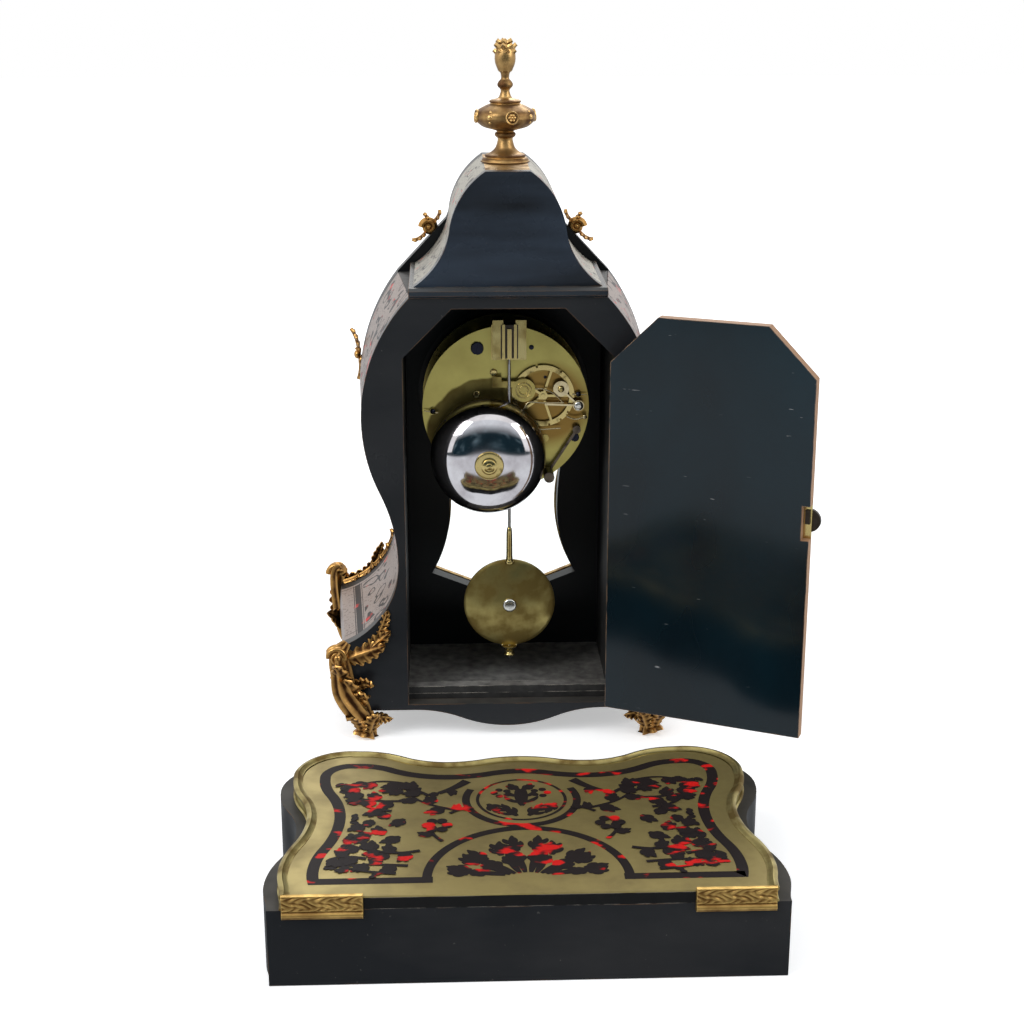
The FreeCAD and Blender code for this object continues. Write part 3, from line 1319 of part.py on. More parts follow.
def pendulum():
    x = "pendulum_x"
    y = MOVEMENT + " - pendulum_out"
    strip = box("spring_strip", x + " - spring_thick / 2", y + " - spring_wide / 2",
                "pendulum_top - spring_down", "spring_thick", "spring_wide",
                "spring_up + spring_down")
    tail = "bob_high - bob_r - rating_nut_high - rod_tail"
    rod = post("rod_bar", x, y, tail, "rod_r", f"pendulum_top - spring_down + 1 - ({tail})")
    node(join("pendulum_rod_form", strip, rod), "pendulum_rod")
    lens = [("0", "-bob_thick / 2"), ("bob_r * 0.55", "-bob_thick * 0.41"),
            ("bob_r * 0.85", "-bob_thick * 0.24"), ("bob_r", "-bob_edge / 2"),
            ("bob_r", "bob_edge / 2"), ("bob_r * 0.85", "bob_thick * 0.24"),
            ("bob_r * 0.55", "bob_thick * 0.41"), ("0", "bob_thick / 2")]
    disc_body = turned("bob_lens", lens, x, y, "bob_high", along_y=True)
    boss = bar("bob_boss", x, y + " - bob_thick / 2 - bob_boss_thick", "bob_high", "bob_boss_r",
               "bob_boss_thick + 1")
    bore = post("bob_bore", x, y, "bob_high - bob_r - 1", "rod_r", "2 * bob_r + 2")
    node(less("pendulum_bob_form", join("bob_blank", disc_body, boss), bore), "pendulum_bob")
    nut = [("rod_r", "0"), ("rating_nut_r * 0.7", "0"), ("rating_nut_r * 0.6", "rating_nut_high * 0.4"),
           ("rating_nut_r", "rating_nut_high * 0.85"), ("rating_nut_r", "rating_nut_high"),
           ("rod_r", "rating_nut_high")]
    node(turned("rating_nut_form", nut, x, y, "bob_high - bob_r - rating_nut_high"), "rating_nut")


# ---------------------------------------------------------------- plinth

def plinth_outline(half, swell, waist, margin=0.0):
    """Plan of the plinth from its straight near edge: swelling ends, waists and a lobed far edge."""
    deep = S.plinth_deep + margin
    outline = Outline(0, 0)
    outline.line(half, 0)
    outline.ess_upright(swell, S.plinth_deep * 0.15)
    outline.ess_upright(waist, S.plinth_deep * 0.5)
    outline.ess_upright(swell, S.plinth_deep * 0.8)
    outline.arc((swell - (swell - S.plinth_lobe_x) * 0.22, deep * 0.945), (S.plinth_lobe_x, deep))
    outline.ess_level(S.plinth_trough_x, deep - S.plinth_trough)
    outline.ess_level(0, deep - S.plinth_hump)
    return outline.mirrored()


def plinth():
    near = REAR - S.plinth_away
    body = Part.Face(plinth_outline(S.plinth_body_half, S.plinth_body_swell, S.plinth_body_waist,
                                    S.plinth_body_margin).wire(level(near, 0)))
    node(shaped("plinth_body_form", body.extrude(FreeCAD.Vector(0, 0, S.plinth_body_high))),
         "plinth_body")
    top = plinth_outline(S.plinth_top_half, S.plinth_top_swell, S.plinth_top_waist)
    low = S.plinth_body_high
    whole = Part.Face(top.wire(level(near, low)))
    rim_in = S.rim_wide
    inner = plinth_outline(S.plinth_top_half - rim_in, S.plinth_top_swell - rim_in,
                           S.plinth_top_waist - rim_in, -rim_in)
    flat = Part.Face(inner.wire(level(near, low)))
    lift = S.plinth_high - S.plate_thin - low
    node(shaped("plinth_platform_form", flat.extrude(FreeCAD.Vector(0, 0, lift))), "plinth_platform")
    sheet_metal = flat.copy()
    sheet_metal.translate(FreeCAD.Vector(0, 0, lift))
    node(shaped("plinth_inlay_plate_form", sheet_metal.extrude(FreeCAD.Vector(0, 0, S.plate_thin))),
         "plinth_inlay_plate")
    rim = whole.cut(flat)
    rim = max(rim.Faces, key=lambda face: face.Area)
    node(shaped("plinth_rim_form", rim.extrude(FreeCAD.Vector(0, 0, lift + S.plate_thin + S.rim_proud))),
         "plinth_rim")
    strips = []
    for start in ("-plinth_top_half", "plinth_top_half - strip_long"):
        strips.append(box("corner_strip", start, "-case_deep / 2 - plinth_away - strip_thick",
                          "plinth_high + rim_proud - strip_high", "strip_long", "strip_thick",
                          "strip_high"))
    node(group("plinth_corner_strips_form", *strips), "plinth_corner_strips")


# ---------------------------------------------------------------- assembly and export

rear_board()
front_form = front_board().Shape
sides()
floor_and_roof()
cornice()
hood()
finial()
legs(case_envelope())
small_mounts(front_form)
dial()
front_door()
rear_door()
movement_frame()
suspension()
bell_and_stand()
small_fixings()
train()
count_wheel()
hammer()
locking_lever()
crutch_and_pallets()
motion_work()
pendulum()
plinth()
doc.recompute()

for item in doc.Objects:
    if "Invalid" in item.State or "Error" in item.State:
        raise RuntimeError(f"{item.Name} did not build: {item.State}")
for item in nodes:
    if item.Shape.isNull() or not item.Shape.isValid() or not item.Shape.Solids:
        raise RuntimeError(f"{item.Label} has no sound solid")

os.makedirs("parts", exist_ok=True)
for item in nodes:
    item.Shape.exportStep(f"parts/{item.Label}.step")
print(len(nodes), "sub-parts,", sum(len(item.Shape.Solids) for item in nodes), "solids")
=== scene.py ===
import math
import bmesh
import bpy
import numpy as np
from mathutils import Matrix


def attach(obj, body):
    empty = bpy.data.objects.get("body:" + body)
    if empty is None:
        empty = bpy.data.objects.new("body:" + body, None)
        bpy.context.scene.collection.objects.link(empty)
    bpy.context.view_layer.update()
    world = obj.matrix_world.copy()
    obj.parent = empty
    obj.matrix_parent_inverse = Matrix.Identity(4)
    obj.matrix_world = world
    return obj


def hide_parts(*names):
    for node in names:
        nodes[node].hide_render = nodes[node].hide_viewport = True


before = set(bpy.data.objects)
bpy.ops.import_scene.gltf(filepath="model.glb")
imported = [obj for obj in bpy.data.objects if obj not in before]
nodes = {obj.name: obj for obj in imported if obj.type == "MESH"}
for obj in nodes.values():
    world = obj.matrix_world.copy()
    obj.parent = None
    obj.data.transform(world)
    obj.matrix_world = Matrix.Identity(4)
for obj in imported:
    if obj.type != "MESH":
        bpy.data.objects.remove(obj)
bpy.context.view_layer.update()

# ------------------------------------------------------------------ camera and studio
# The clock stands on a white table and is seen from behind, a little from above and from
# the left, with a long lens.  The camera's place comes from the photograph's perspective.
# Mirrors see the table end behind the camera, a dark room beyond it and a bright ceiling.

CAMERA_AT = (-0.040, -1.165, 0.508)
CAMERA_HEADING = (0.038, 0.999)
CAMERA_DIP = math.radians(17.56)
CAMERA_LENS = 63.6

camera = bpy.data.objects.new("camera", bpy.data.cameras.new("camera"))
bpy.context.scene.collection.objects.link(camera)
camera.location = CAMERA_AT
camera.data.lens = CAMERA_LENS
camera.rotation_euler = (math.pi / 2 - CAMERA_DIP, 0, -math.atan2(*CAMERA_HEADING))
bpy.context.scene.camera = camera
bpy.context.scene.view_settings.view_transform = "Standard"


def put(tree, kind, inputs=None, **settings):
    """Add a shader node; inputs maps a socket to a value or to another node's socket."""
    made = tree.nodes.new(kind)
    for name, value in settings.items():
        setattr(made, name, value)
    for name, value in (inputs or {}).items():
        if isinstance(value, bpy.types.NodeSocket):
            tree.links.new(value, made.inputs[name])
        else:
            made.inputs[name].default_value = value
    return made


def empty_material(name):
    """A new material and its tree, with nothing in the tree."""
    made = bpy.data.materials.new(name)
    made.use_nodes = True
    made.node_tree.nodes.clear()
    return made, made.node_tree


def reckon(tree, operation, first, second=0.5):
    """A sum on numbers."""
    return put(tree, "ShaderNodeMath", {0: first, 1: second}, operation=operation).outputs[0]


def vector(tree, operation, first, second=(0, 0, 0)):
    """A sum on vectors; a length and a dot product give a number."""
    made = put(tree, "ShaderNodeVectorMath", {0: first, 1: second}, operation=operation)
    return made.outputs["Value" if operation in ("LENGTH", "DOT_PRODUCT") else "Vector"]


def spot(tree):
    """The place in the object's own metres."""
    return put(tree, "ShaderNodeTexCoord").outputs["Object"]


def axes(tree, place=None):
    """The three outputs of a place."""
    return put(tree, "ShaderNodeSeparateXYZ", {0: place or spot(tree)}).outputs


def either(tree, *rays):
    """1 for a ray of any of the named kinds."""
    path = put(tree, "ShaderNodeLightPath")
    found = path.outputs[rays[0]]
    for ray in rays[1:]:
        found = reckon(tree, "MAXIMUM", found, path.outputs[ray])
    return found


def seen_by(tree, factor, usual, special):
    """The special shader where factor is 1, else the usual one."""
    return put(tree, "ShaderNodeMixShader", {0: factor, 1: usual, 2: special}).outputs[0]


def clamped(tree, value, low, high, first=0.0, last=1.0):
    """A value between low and high stretched to run from first to last."""
    return put(tree, "ShaderNodeMapRange", {"Value": value, "From Min": low, "From Max": high,
                                           "To Min": first, "To Max": last}).outputs[0]


def tint(tree, factor, low, high):
    """A colour between two colours."""
    return put(tree, "ShaderNodeMix", {0: factor, 6: low, 7: high}, data_type="RGBA").outputs[2]


def glowing(tree, colour, strength=1.0):
    """A shader that gives off light."""
    return put(tree, "ShaderNodeEmission", {"Color": colour, "Strength": strength}).outputs[0]


def plain(red, green, blue):
    """An opaque colour."""
    return (red, green, blue, 1.0)


SKY, SKY_STRENGTH = plain(0.95, 0.97, 1.0), 0.55
WHITE = plain(1, 1, 1)
ROOM_DARK, ROOM_PATCH = plain(0.010, 0.026, 0.036), plain(0.16, 0.24, 0.28)
ROOM_BRIGHT = plain(0.80, 0.84, 0.88)
TABLE_HALF, TABLE_DROP = 6.0, 0.0004
TABLE_GLOW, TABLE_GLOW_FAR = 0.45, 0.75
TABLE_END, TABLE_END_SOFT = -1.15, 0.25
CARD_AT, CARD_HALF, CARD_TOP = -2.6, 2.6, 3.6
CARD_DARK_TO, CARD_BRIGHT_FROM = 1.0, 2.3

world = bpy.data.worlds.new("white_room")
bpy.context.scene.world = world
world.use_nodes = True
tree = world.node_tree
tree.nodes.clear()
sky = put(tree, "ShaderNodeBackground", {"Color": SKY, "Strength": SKY_STRENGTH}).outputs[0]
bare = put(tree, "ShaderNodeBackground", {"Color": WHITE, "Strength": 1.0}).outputs[0]
shown = seen_by(tree, either(tree, "Is Camera Ray", "Is Transmission Ray", "Is Glossy Ray"), sky, bare)
put(tree, "ShaderNodeOutputWorld", {"Surface": shown})


def stage_sheet(name, corners, material):
    """A flat sheet of the studio, which is no part of the object."""
    mesh = bpy.data.meshes.new(name)
    mesh.from_pydata(corners, [], [(0, 1, 2, 3)])
    mesh.materials.append(material)
    sheet = bpy.data.objects.new(name, mesh)
    bpy.context.scene.collection.objects.link(sheet)


def oblong(half, low, high):
    """The corners of an upright rectangle about the middle."""
    return ((-half, low), (half, low), (half, high), (-half, high))


paper, tree = empty_material("white_paper")
matt = put(tree, "ShaderNodeBsdfDiffuse", {"Color": plain(0.9, 0.9, 0.9)}).outputs[0]
reach = vector(tree, "LENGTH", spot(tree))
glow = glowing(tree, WHITE, clamped(tree, reach, 0.4, 2.2, TABLE_GLOW, TABLE_GLOW_FAR))
lit = put(tree, "ShaderNodeAddShader", {0: matt, 1: glow}).outputs[0]
far = clamped(tree, axes(tree)[1], TABLE_END - TABLE_END_SOFT, TABLE_END)
ending = glowing(tree, tint(tree, far, ROOM_DARK, plain(0.8, 0.83, 0.86)))
seen = seen_by(tree, either(tree, "Is Camera Ray", "Is Transmission Ray"), matt, lit)
put(tree, "ShaderNodeOutputMaterial", {"Surface": seen_by(tree, either(tree, "Is Glossy Ray"), seen, ending)})
stage_sheet("table", [(x, y, -TABLE_DROP) for x, y in oblong(TABLE_HALF, -TABLE_HALF, TABLE_HALF)], paper)

backdrop, tree = empty_material("room")
patches = put(tree, "ShaderNodeTexNoise", {"Vector": spot(tree), "Scale": 1.6, "Detail": 3.0}).outputs[0]
room = tint(tree, clamped(tree, patches, 0.52, 0.72), ROOM_DARK, ROOM_PATCH)
up = clamped(tree, axes(tree)[2], CARD_DARK_TO, CARD_BRIGHT_FROM)
put(tree, "ShaderNodeOutputMaterial", {"Surface": glowing(tree, tint(tree, up, room, ROOM_BRIGHT))})
stage_sheet("room_behind_camera", [(x, CARD_AT, z) for x, z in oblong(CARD_HALF, 0, CARD_TOP)], backdrop)

# Softboxes: one high on the left, one on the right and one over the front.
for name, at, size, watts in (("left", (-1.6, -1.2, 1.7), 1.2, 26), ("right", (1.7, -0.9, 1.3), 1.0, 16),
                              ("front", (0.3, 1.9, 1.8), 1.3, 22)):
    lamp = bpy.data.objects.new("softbox_" + name, bpy.data.lights.new("softbox_" + name, "AREA"))
    lamp.data.size = size
    lamp.data.energy = watts
    lamp.location = at
    away = np.array(at) - (0, 0, 0.2)
    flat = math.hypot(away[0], away[1])
    lamp.rotation_euler = (math.atan2(flat, away[2]), 0, math.atan2(away[0], -away[1]))
    bpy.context.scene.collection.objects.link(lamp)

# ------------------------------------------------------------------ ebonised boards
# The carcase boards, the hood's back and the plinth's body are pear wood stained black and
# French polished.  The polish is cloudy, and the wood shows brown on worn corners.

BLACK = plain(0.010, 0.0115, 0.014)
BOARD_DUST = plain(0.085, 0.078, 0.066)
CHIP = plain(0.12, 0.11, 0.10)
WORN_WOOD = plain(0.16, 0.085, 0.04)
WEAR_RADIUS = 0.0011


def noise(tree, place, scale, detail=4.0):
    """Grey noise at a place; scale is in cycles per metre."""
    return put(tree, "ShaderNodeTexNoise", {"Vector": place, "Scale": scale, "Detail": detail}).outputs[0]


def here(tree, stretch=(1, 1, 1), turn=(0, 0, 0)):
    """Object coordinates in metres, stretched and turned."""
    return put(tree, "ShaderNodeMapping", {"Vector": spot(tree), "Scale": stretch, "Rotation": turn}).outputs[0]


def mottle(tree, scale, low, high, first=0.0, last=1.0, detail=4.0, stretch=(1, 1, 1)):
    """Noise on the object between low and high, stretched to run from first to last."""
    return clamped(tree, noise(tree, here(tree, stretch), scale, detail), low, high, first, last)


def facing(tree, axis, low, high):
    """1 where the surface looks along an axis by high or more, 0 below low."""
    return clamped(tree, axes(tree, put(tree, "ShaderNodeNewGeometry").outputs["Normal"])[axis], low, high)


def shader(tree, **values):
    """A Principled shader on the material's output; names use _ for a space."""
    made = put(tree, "ShaderNodeBsdfPrincipled",
               {name.replace("_", " "): value for name, value in values.items()})
    put(tree, "ShaderNodeOutputMaterial", {"Surface": made.outputs[0]})


def bump(tree, height, distance, strength):
    """A normal from a height; distance is in metres."""
    return put(tree, "ShaderNodeBump", {"Height": height, "Distance": distance,
                                       "Strength": strength}).outputs[0]


def times(tree, first, second):
    """A product."""
    return reckon(tree, "MULTIPLY", first, second)


def plus(tree, first, second):
    """A sum of two."""
    return reckon(tree, "ADD", first, second)


def layers(tree, colour, *covers):
    """A colour with others laid over it in turn, each by its share."""
    for share, over in covers:
        colour = tint(tree, share, colour, over)
    return colour


# A shared mask of edges: how far a rounded normal turns from the true one.
edges = bpy.data.node_groups.new("edge_mask", "ShaderNodeTree")
edges.interface.new_socket("Radius", in_out="INPUT", socket_type="NodeSocketFloat")
edges.interface.new_socket("Mask", in_out="OUTPUT", socket_type="NodeSocketFloat")
entry = edges.nodes.new("NodeGroupInput")
leaving = edges.nodes.new("NodeGroupOutput")
rounded = put(edges, "ShaderNodeBevel", {"Radius": entry.outputs[0]}, samples=6).outputs[0]
turned = vector(edges, "DOT_PRODUCT", rounded, put(edges, "ShaderNodeNewGeometry").outputs["Normal"])
edges.links.new(clamped(edges, turned, 0.97, 0.78), leaving.inputs[0])


def worn_edge(tree, radius, scale, low, high):
    """Convex and concave edges within a radius in metres, broken up by noise."""
    mask = put(tree, "ShaderNodeGroup", {"Radius": radius}, node_tree=edges).outputs[0]
    return times(tree, mask, mottle(tree, scale, low, high))


def black_wood(name, cloud, roughness, wear, stretch=(6, 6, 16), shine=0.25):
    """Black polish: cloud is the colour of its haze, wear how much brown the edges show."""
    made, tree = empty_material(name)
    haze = mottle(tree, 1.0, 0.42, 0.72, detail=5.0, stretch=stretch)
    worn = worn_edge(tree, WEAR_RADIUS, 60.0, 0.62 - wear, 0.72 - wear / 2)
    dusty = times(tree, facing(tree, 2, 0.7, 1.0), mottle(tree, 70.0, 0.1, 0.8, 0.2, 0.9))
    colour = layers(tree, BLACK, (haze, cloud), (dusty, BOARD_DUST),
                    (mottle(tree, 420.0, 0.74, 0.78, 0.0, 0.35, 2.0), CHIP), (worn, WORN_WOOD))
    rough = plus(tree, mottle(tree, 25.0, 0.3, 0.7, roughness * 0.8, roughness * 1.3), times(tree, worn, 0.3))
    grain = noise(tree, here(tree, (40, 40, 400)), 1.0, 3.0)
    shader(tree, Base_Color=colour, Roughness=rough, Specular_IOR_Level=shine,
           Normal=bump(tree, grain, 0.00002, 0.3))
    return made


def dress(material, *names):
    """Give CAD nodes a material through their slots."""
    for name in names:
        for slot in nodes[name].material_slots:
            slot.material = material


dress(black_wood("ebonised_board", plain(0.021, 0.022, 0.024), 0.34, 0.22), "rear_board")
dress(black_wood("ebonised_hood", plain(0.040, 0.056, 0.082), 0.26, 0.12, (4, 4, 26)), "hood_back")
dress(black_wood("ebonised_cornice", plain(0.030, 0.040, 0.052), 0.26, 0.34), "cornice")
dress(black_wood("ebonised_plinth", plain(0.030, 0.030, 0.031), 0.5, 0.14, shine=0.12), "plinth_body")

# ------------------------------------------------------------------ inside of the case
# The inner faces are painted matt black and have gathered dust, most of it on the floor and
# on the sill, whose edge is rubbed to the wood.

PAINT = plain(0.0060, 0.0062, 0.0066)
DUST = plain(0.21, 0.20, 0.185)
RUBBED_WOOD = plain(0.46, 0.42, 0.36)


def painted(name, dust, edge, shine=0.3):
    """Matt black paint with dust on what faces up, and rubbed edges."""
    made, tree = empty_material(name)
    low = clamped(tree, axes(tree)[2], 0.10, 0.02, 0.0, 0.22)
    spots = mottle(tree, 150.0, 0.12, 0.85, detail=8.0)
    fallen = times(tree, plus(tree, times(tree, facing(tree, 2, 0.6, 1.0), 0.9), low), times(tree, spots, dust))
    rubbed = times(tree, worn_edge(tree, 0.0009, 90.0, 0.42, 0.56), edge)
    shader(tree, Base_Color=layers(tree, PAINT, (fallen, DUST), (rubbed, RUBBED_WOOD)), Roughness=0.62,
           Specular_IOR_Level=shine)
    return made


dress(painted("inner_paint", 0.5, 0.25), "case_side_right", "case_side_left", "roof_board")
dress(painted("floor_paint", 0.8, 0.3), "floor_board")
dress(painted("platform_paint", 0.1, 0.5, 0.1), "plinth_platform")
dress(painted("sill_paint", 1.0, 1.0), "rear_sill")

# ------------------------------------------------------------------ rear door
# One flat board, polished on both faces, with raw pear wood on its cut edges.  A small brass
# plate lines the notch in its free edge and carries the turn button.

RAW_WOOD, RAW_GRAIN = plain(0.42, 0.25, 0.14), plain(0.30, 0.16, 0.09)
POLISH, POLISH_BLOOM_AND_REFLECTION = plain(0.003, 0.005, 0.007), plain(0.004, 0.020, 0.030)
DOOR_TURN = math.radians(155.4)
DOOR_PIN = (0.0662, -0.0572, 0)
DOOR_FACE_IN, DOOR_THICK = 0.0022, 0.0075

door_look, tree = empty_material("door_polish")
# Distance through the board, counted from the hinge pin across the door's own plane.
through = vector(tree, "DOT_PRODUCT", vector(tree, "SUBTRACT", spot(tree), DOOR_PIN),
                 (-math.sin(DOOR_TURN), math.cos(DOOR_TURN), 0))
inside = times(tree, clamped(tree, through, DOOR_FACE_IN + 0.0002, DOOR_FACE_IN + 0.0004),
               clamped(tree, through, DOOR_FACE_IN + DOOR_THICK - 0.0002, DOOR_FACE_IN + DOOR_THICK - 0.0004))
raw = tint(tree, noise(tree, here(tree, (300, 300, 14)), 1.0, 5.0), RAW_GRAIN, RAW_WOOD)
# Teal in the polish: a random haze from noise, plus a painted reflection of the dark room that grows towards the
# door's top.
bloom_and_reflection = clamped(tree, plus(tree, noise(tree, here(tree, (9, 9, 5)), 1.0, 3.0),
                           times(tree, clamped(tree, axes(tree)[2], 0.11, 0.30), 0.35)), 0.45, 0.95)
scratch = noise(tree, here(tree, (90, 90, 900), (0.0, 0.25, 0.0)), 1.0, 2.0)
flecks = times(tree, clamped(tree, scratch, 0.735, 0.76), mottle(tree, 30.0, 0.5, 0.6))
polish = layers(tree, POLISH, (bloom_and_reflection, POLISH_BLOOM_AND_REFLECTION), (times(tree, flecks, 0.6), plain(0.5, 0.5, 0.5)),
                (worn_edge(tree, 0.0012, 80.0, 0.35, 0.6), RAW_WOOD))
shader(tree, Base_Color=tint(tree, inside, polish, raw), Specular_IOR_Level=0.33,
       Roughness=plus(tree, times(tree, inside, 0.5), mottle(tree, 12.0, 0.3, 0.7, 0.09, 0.17)),
       Normal=bump(tree, noise(tree, here(tree, (16, 16, 3)), 1.0, 2.0), 0.0004, 0.25))
dress(door_look, "rear_door_panel")

# ------------------------------------------------------------------ metals
# Gilt bronze is worn bright on the heights and brown in the hollows; clock brass is lacquered
# and has tarnished in patches; steel is bright, blued or darkened with age.

GILT, GILT_BROWN = plain(0.52, 0.285, 0.085), plain(0.050, 0.019, 0.006)
BRASS, TARNISH = plain(0.50, 0.40, 0.13), plain(0.13, 0.085, 0.022)
GRIME = plain(0.03, 0.025, 0.02)


def gilt(name, high=GILT, low=GILT_BROWN, roughness=0.30, hollow=True):
    """Cast gilt bronze; hollow reads the mesh's own hollows, for meshes that join up."""
    made, tree = empty_material(name)
    cloud = noise(tree, here(tree), 130.0, 6.0)
    wear = clamped(tree, cloud, 0.35, 0.62)
    if hollow:
        sharp = put(tree, "ShaderNodeNewGeometry").outputs["Pointiness"]
        wear = clamped(tree, plus(tree, sharp, times(tree, cloud, 0.14)), 0.535, 0.63)
    shader(tree, Base_Color=tint(tree, wear, low, high), Metallic=0.92,
           Roughness=clamped(tree, wear, 0.0, 1.0, roughness + 0.28, roughness),
           Normal=bump(tree, noise(tree, here(tree), 700.0, 3.0), 0.00008, 0.6))
    return made


def brass(name, colour, tarnish=TARNISH, roughness=0.26, amount=0.5, scale=35.0):
    """Rolled or turned brass with tarnish in patches; amount is the share that has darkened."""
    made, tree = empty_material(name)
    patch = mottle(tree, scale, 0.72 - amount * 0.5, 0.86 - amount * 0.4, detail=6.0)
    shader(tree, Base_Color=tint(tree, patch, colour, tarnish), Metallic=0.95,
           Roughness=clamped(tree, patch, 0.0, 1.0, roughness, roughness + 0.22),
           Normal=bump(tree, noise(tree, here(tree, (900, 900, 60)), 1.0, 2.0), 0.00001, 0.35))
    return made


def metal(name, colour, roughness, grime):
    """A plain metal with a little grime."""
    made, tree = empty_material(name)
    dirt = mottle(tree, 220.0, 0.5, 0.8, 0.0, grime, 5.0)
    shader(tree, Base_Color=tint(tree, dirt, colour, GRIME), Metallic=1.0,
           Roughness=clamped(tree, dirt, 0.0, 1.0, roughness, roughness + 0.3))
    return made


gilt_cast = gilt("gilt_bronze")
gilt_flat = gilt("gilt_sheet", plain(0.60, 0.40, 0.15), plain(0.20, 0.11, 0.04), 0.32, False)
clock_brass = brass("clock_brass", BRASS)
bright_brass = brass("bright_brass", plain(0.62, 0.49, 0.20), roughness=0.2, amount=0.25, scale=90.0)
# The dark blue steel below also fills the plate's holes as painted shade.
blued_and_hole_shade = metal("blued_steel", plain(0.030, 0.032, 0.048), 0.30, 0.3)
silvered = metal("silvered", plain(0.72, 0.71, 0.66), 0.22, 0.3)
# This darkened brass also serves as the painted shade in the recess behind the suspension cheeks.
dark_metal_and_recess_shade = metal("darkened_brass_and_recess_shade", plain(0.06, 0.05, 0.042), 0.34, 0.5)
wire_brass = metal("wire_brass", plain(0.72, 0.60, 0.36), 0.22, 0.2)

dress(metal("bright_steel", plain(0.50, 0.48, 0.45), 0.24, 0.5), "pallets")
dress(metal("old_steel", plain(0.16, 0.13, 0.10), 0.3, 0.6), "hammer")
dress(dark_metal_and_recess_shade, "latch_knob")
dress(wire_brass, "crutch", "locking_lever")
dress(blued_and_hole_shade, "minute_hand", "hour_hand", "plate_screws")
dress(bright_brass, "latch_plate", "rear_hinge_leaves", "rear_door_knuckles", "front_hinge_lugs",
      "bell_stand", "rating_nut", "count_wheel")
dress(clock_brass, "third_wheel", "centre_arbor", "minute_wheel", "going_barrel", "strike_barrel",
      "escape_wheel", "count_cock", "suspension_block", "movement_front_plate", "movement_pillars")
dress(gilt_flat, "front_door_frame", "hood_cap", "arch_scrolls", "hip_mounts", "plinth_rim",
      "plinth_corner_strips", "finial", "leg_rear_right", "leg_rear_left", "leg_front_right",
      "leg_front_left")

# The dial's casting is gilt in front only; its back is blackened.
dial_look, tree = empty_material("dial_casting")
rearward = facing(tree, 1, 0.2, 0.6)
shader(tree, Base_Color=tint(tree, rearward, plain(0.006, 0.005, 0.004), GILT),
       Metallic=clamped(tree, rearward, 0, 1, 0.0, 0.92), Roughness=0.36,
       Normal=bump(tree, noise(tree, here(tree), 500.0, 3.0), 0.0001, 0.6))
dress(dial_look, "dial_plate")

# ------------------------------------------------------------------ side veneers and hood sides
# Boulle work: thin brass and red tortoiseshell sawn together and glued to the shaped sides,
# with plain brass lines along the edges.

SHELL_BLACK, SHELL_RED = plain(0.012, 0.008, 0.008), plain(0.62, 0.012, 0.010)
EDGE_SOFT = 0.0001


def shell(tree, place, scale=75.0):
    """The colour of tortoiseshell over red foil: black with ragged red clouds."""
    return tint(tree, clamped(tree, noise(tree, place, scale, 2.5), 0.575, 0.64), SHELL_BLACK, SHELL_RED)


def between(tree, value, low, high):
    """1 where a value lies between low and high."""
    return times(tree, clamped(tree, value, low - EDGE_SOFT, low), clamped(tree, value, high + EDGE_SOFT, high))


def foliage(tree, place, scale, low, high):
    """A mask of scrolling foliage: rings about scattered points, bent by noise."""
    drift = put(tree, "ShaderNodeTexNoise", {"Vector": place, "Scale": scale * 0.6}).outputs["Color"]
    wander = put(tree, "ShaderNodeVectorMath", {0: drift, 1: (1.4 / scale,) * 3, 2: place},
                 operation="MULTIPLY_ADD").outputs[0]
    rings = put(tree, "ShaderNodeTexVoronoi", {"Vector": wander, "Scale": scale},
                feature="SMOOTH_F1").outputs["Distance"]
    return clamped(tree, reckon(tree, "SINE", times(tree, rings, 15.0)), low, high)


def sawn_work(name, metal_colour, low, high, edge_from, bands):
    """Scrolling brass on shell, black past edge_from on the front, with bands over each foot."""
    made, tree = empty_material(name)
    place = here(tree)
    x, y, z = axes(tree)
    brass_here = foliage(tree, place, 85.0, low, high)
    if bands:
        # Distance in from the side's foot, whose half width grows towards the front.
        inward = plus(tree, plus(tree, times(tree, y, 0.0667), 0.1115),
                      times(tree, reckon(tree, "ABSOLUTE", x), -1.0))
        foot = clamped(tree, z, 0.1175, 0.1165)
        for start, end, bright in ((-0.02, 0.0078, 1.0), (0.0078, 0.0128, 0.0), (0.0084, 0.0088, 1.0),
                                   (0.0128, 0.0146, 1.0), (0.0135, 0.0138, 0.0)):
            brass_here = tint(tree, times(tree, between(tree, inward, start, end), foot), brass_here,
                              plain(bright, bright, bright))
    for start, end in ((edge_from - 0.0035, edge_from - 0.0030), (-0.0402, -0.0397)):
        brass_here = times(tree, brass_here, plus(tree, 1.0, times(tree, between(tree, y, start, end), -1.0)))
    brass_here = tint(tree, between(tree, y, edge_from - 0.0022, edge_from), brass_here, WHITE)
    black_edge = clamped(tree, y, edge_from, edge_from + EDGE_SOFT)
    grave = mottle(tree, 520.0, 0.56, 0.62, detail=3.0, stretch=(1, 1, 2))
    engraved = tint(tree, times(tree, grave, 0.55), metal_colour, plain(0.10, 0.07, 0.07))
    shader(tree, Base_Color=layers(tree, shell(tree, place), (brass_here, engraved),
                                   (black_edge, plain(0.006, 0.006, 0.006))),
           Metallic=times(tree, brass_here, clamped(tree, black_edge, 0.0, 1.0, 0.8, 0.0)),
           Roughness=clamped(tree, brass_here, 0.0, 1.0, 0.4, 0.42), Specular_IOR_Level=0.3)
    return made


dress(sawn_work("side_inlay", plain(0.36, 0.30, 0.27), -0.75, -0.65, 0.0365, True),
      "side_veneer_right", "side_veneer_left")
dress(sawn_work("hood_inlay", plain(0.42, 0.40, 0.34), -0.95, -0.85, 0.0400, False),
      "hood_side_right", "hood_side_left")

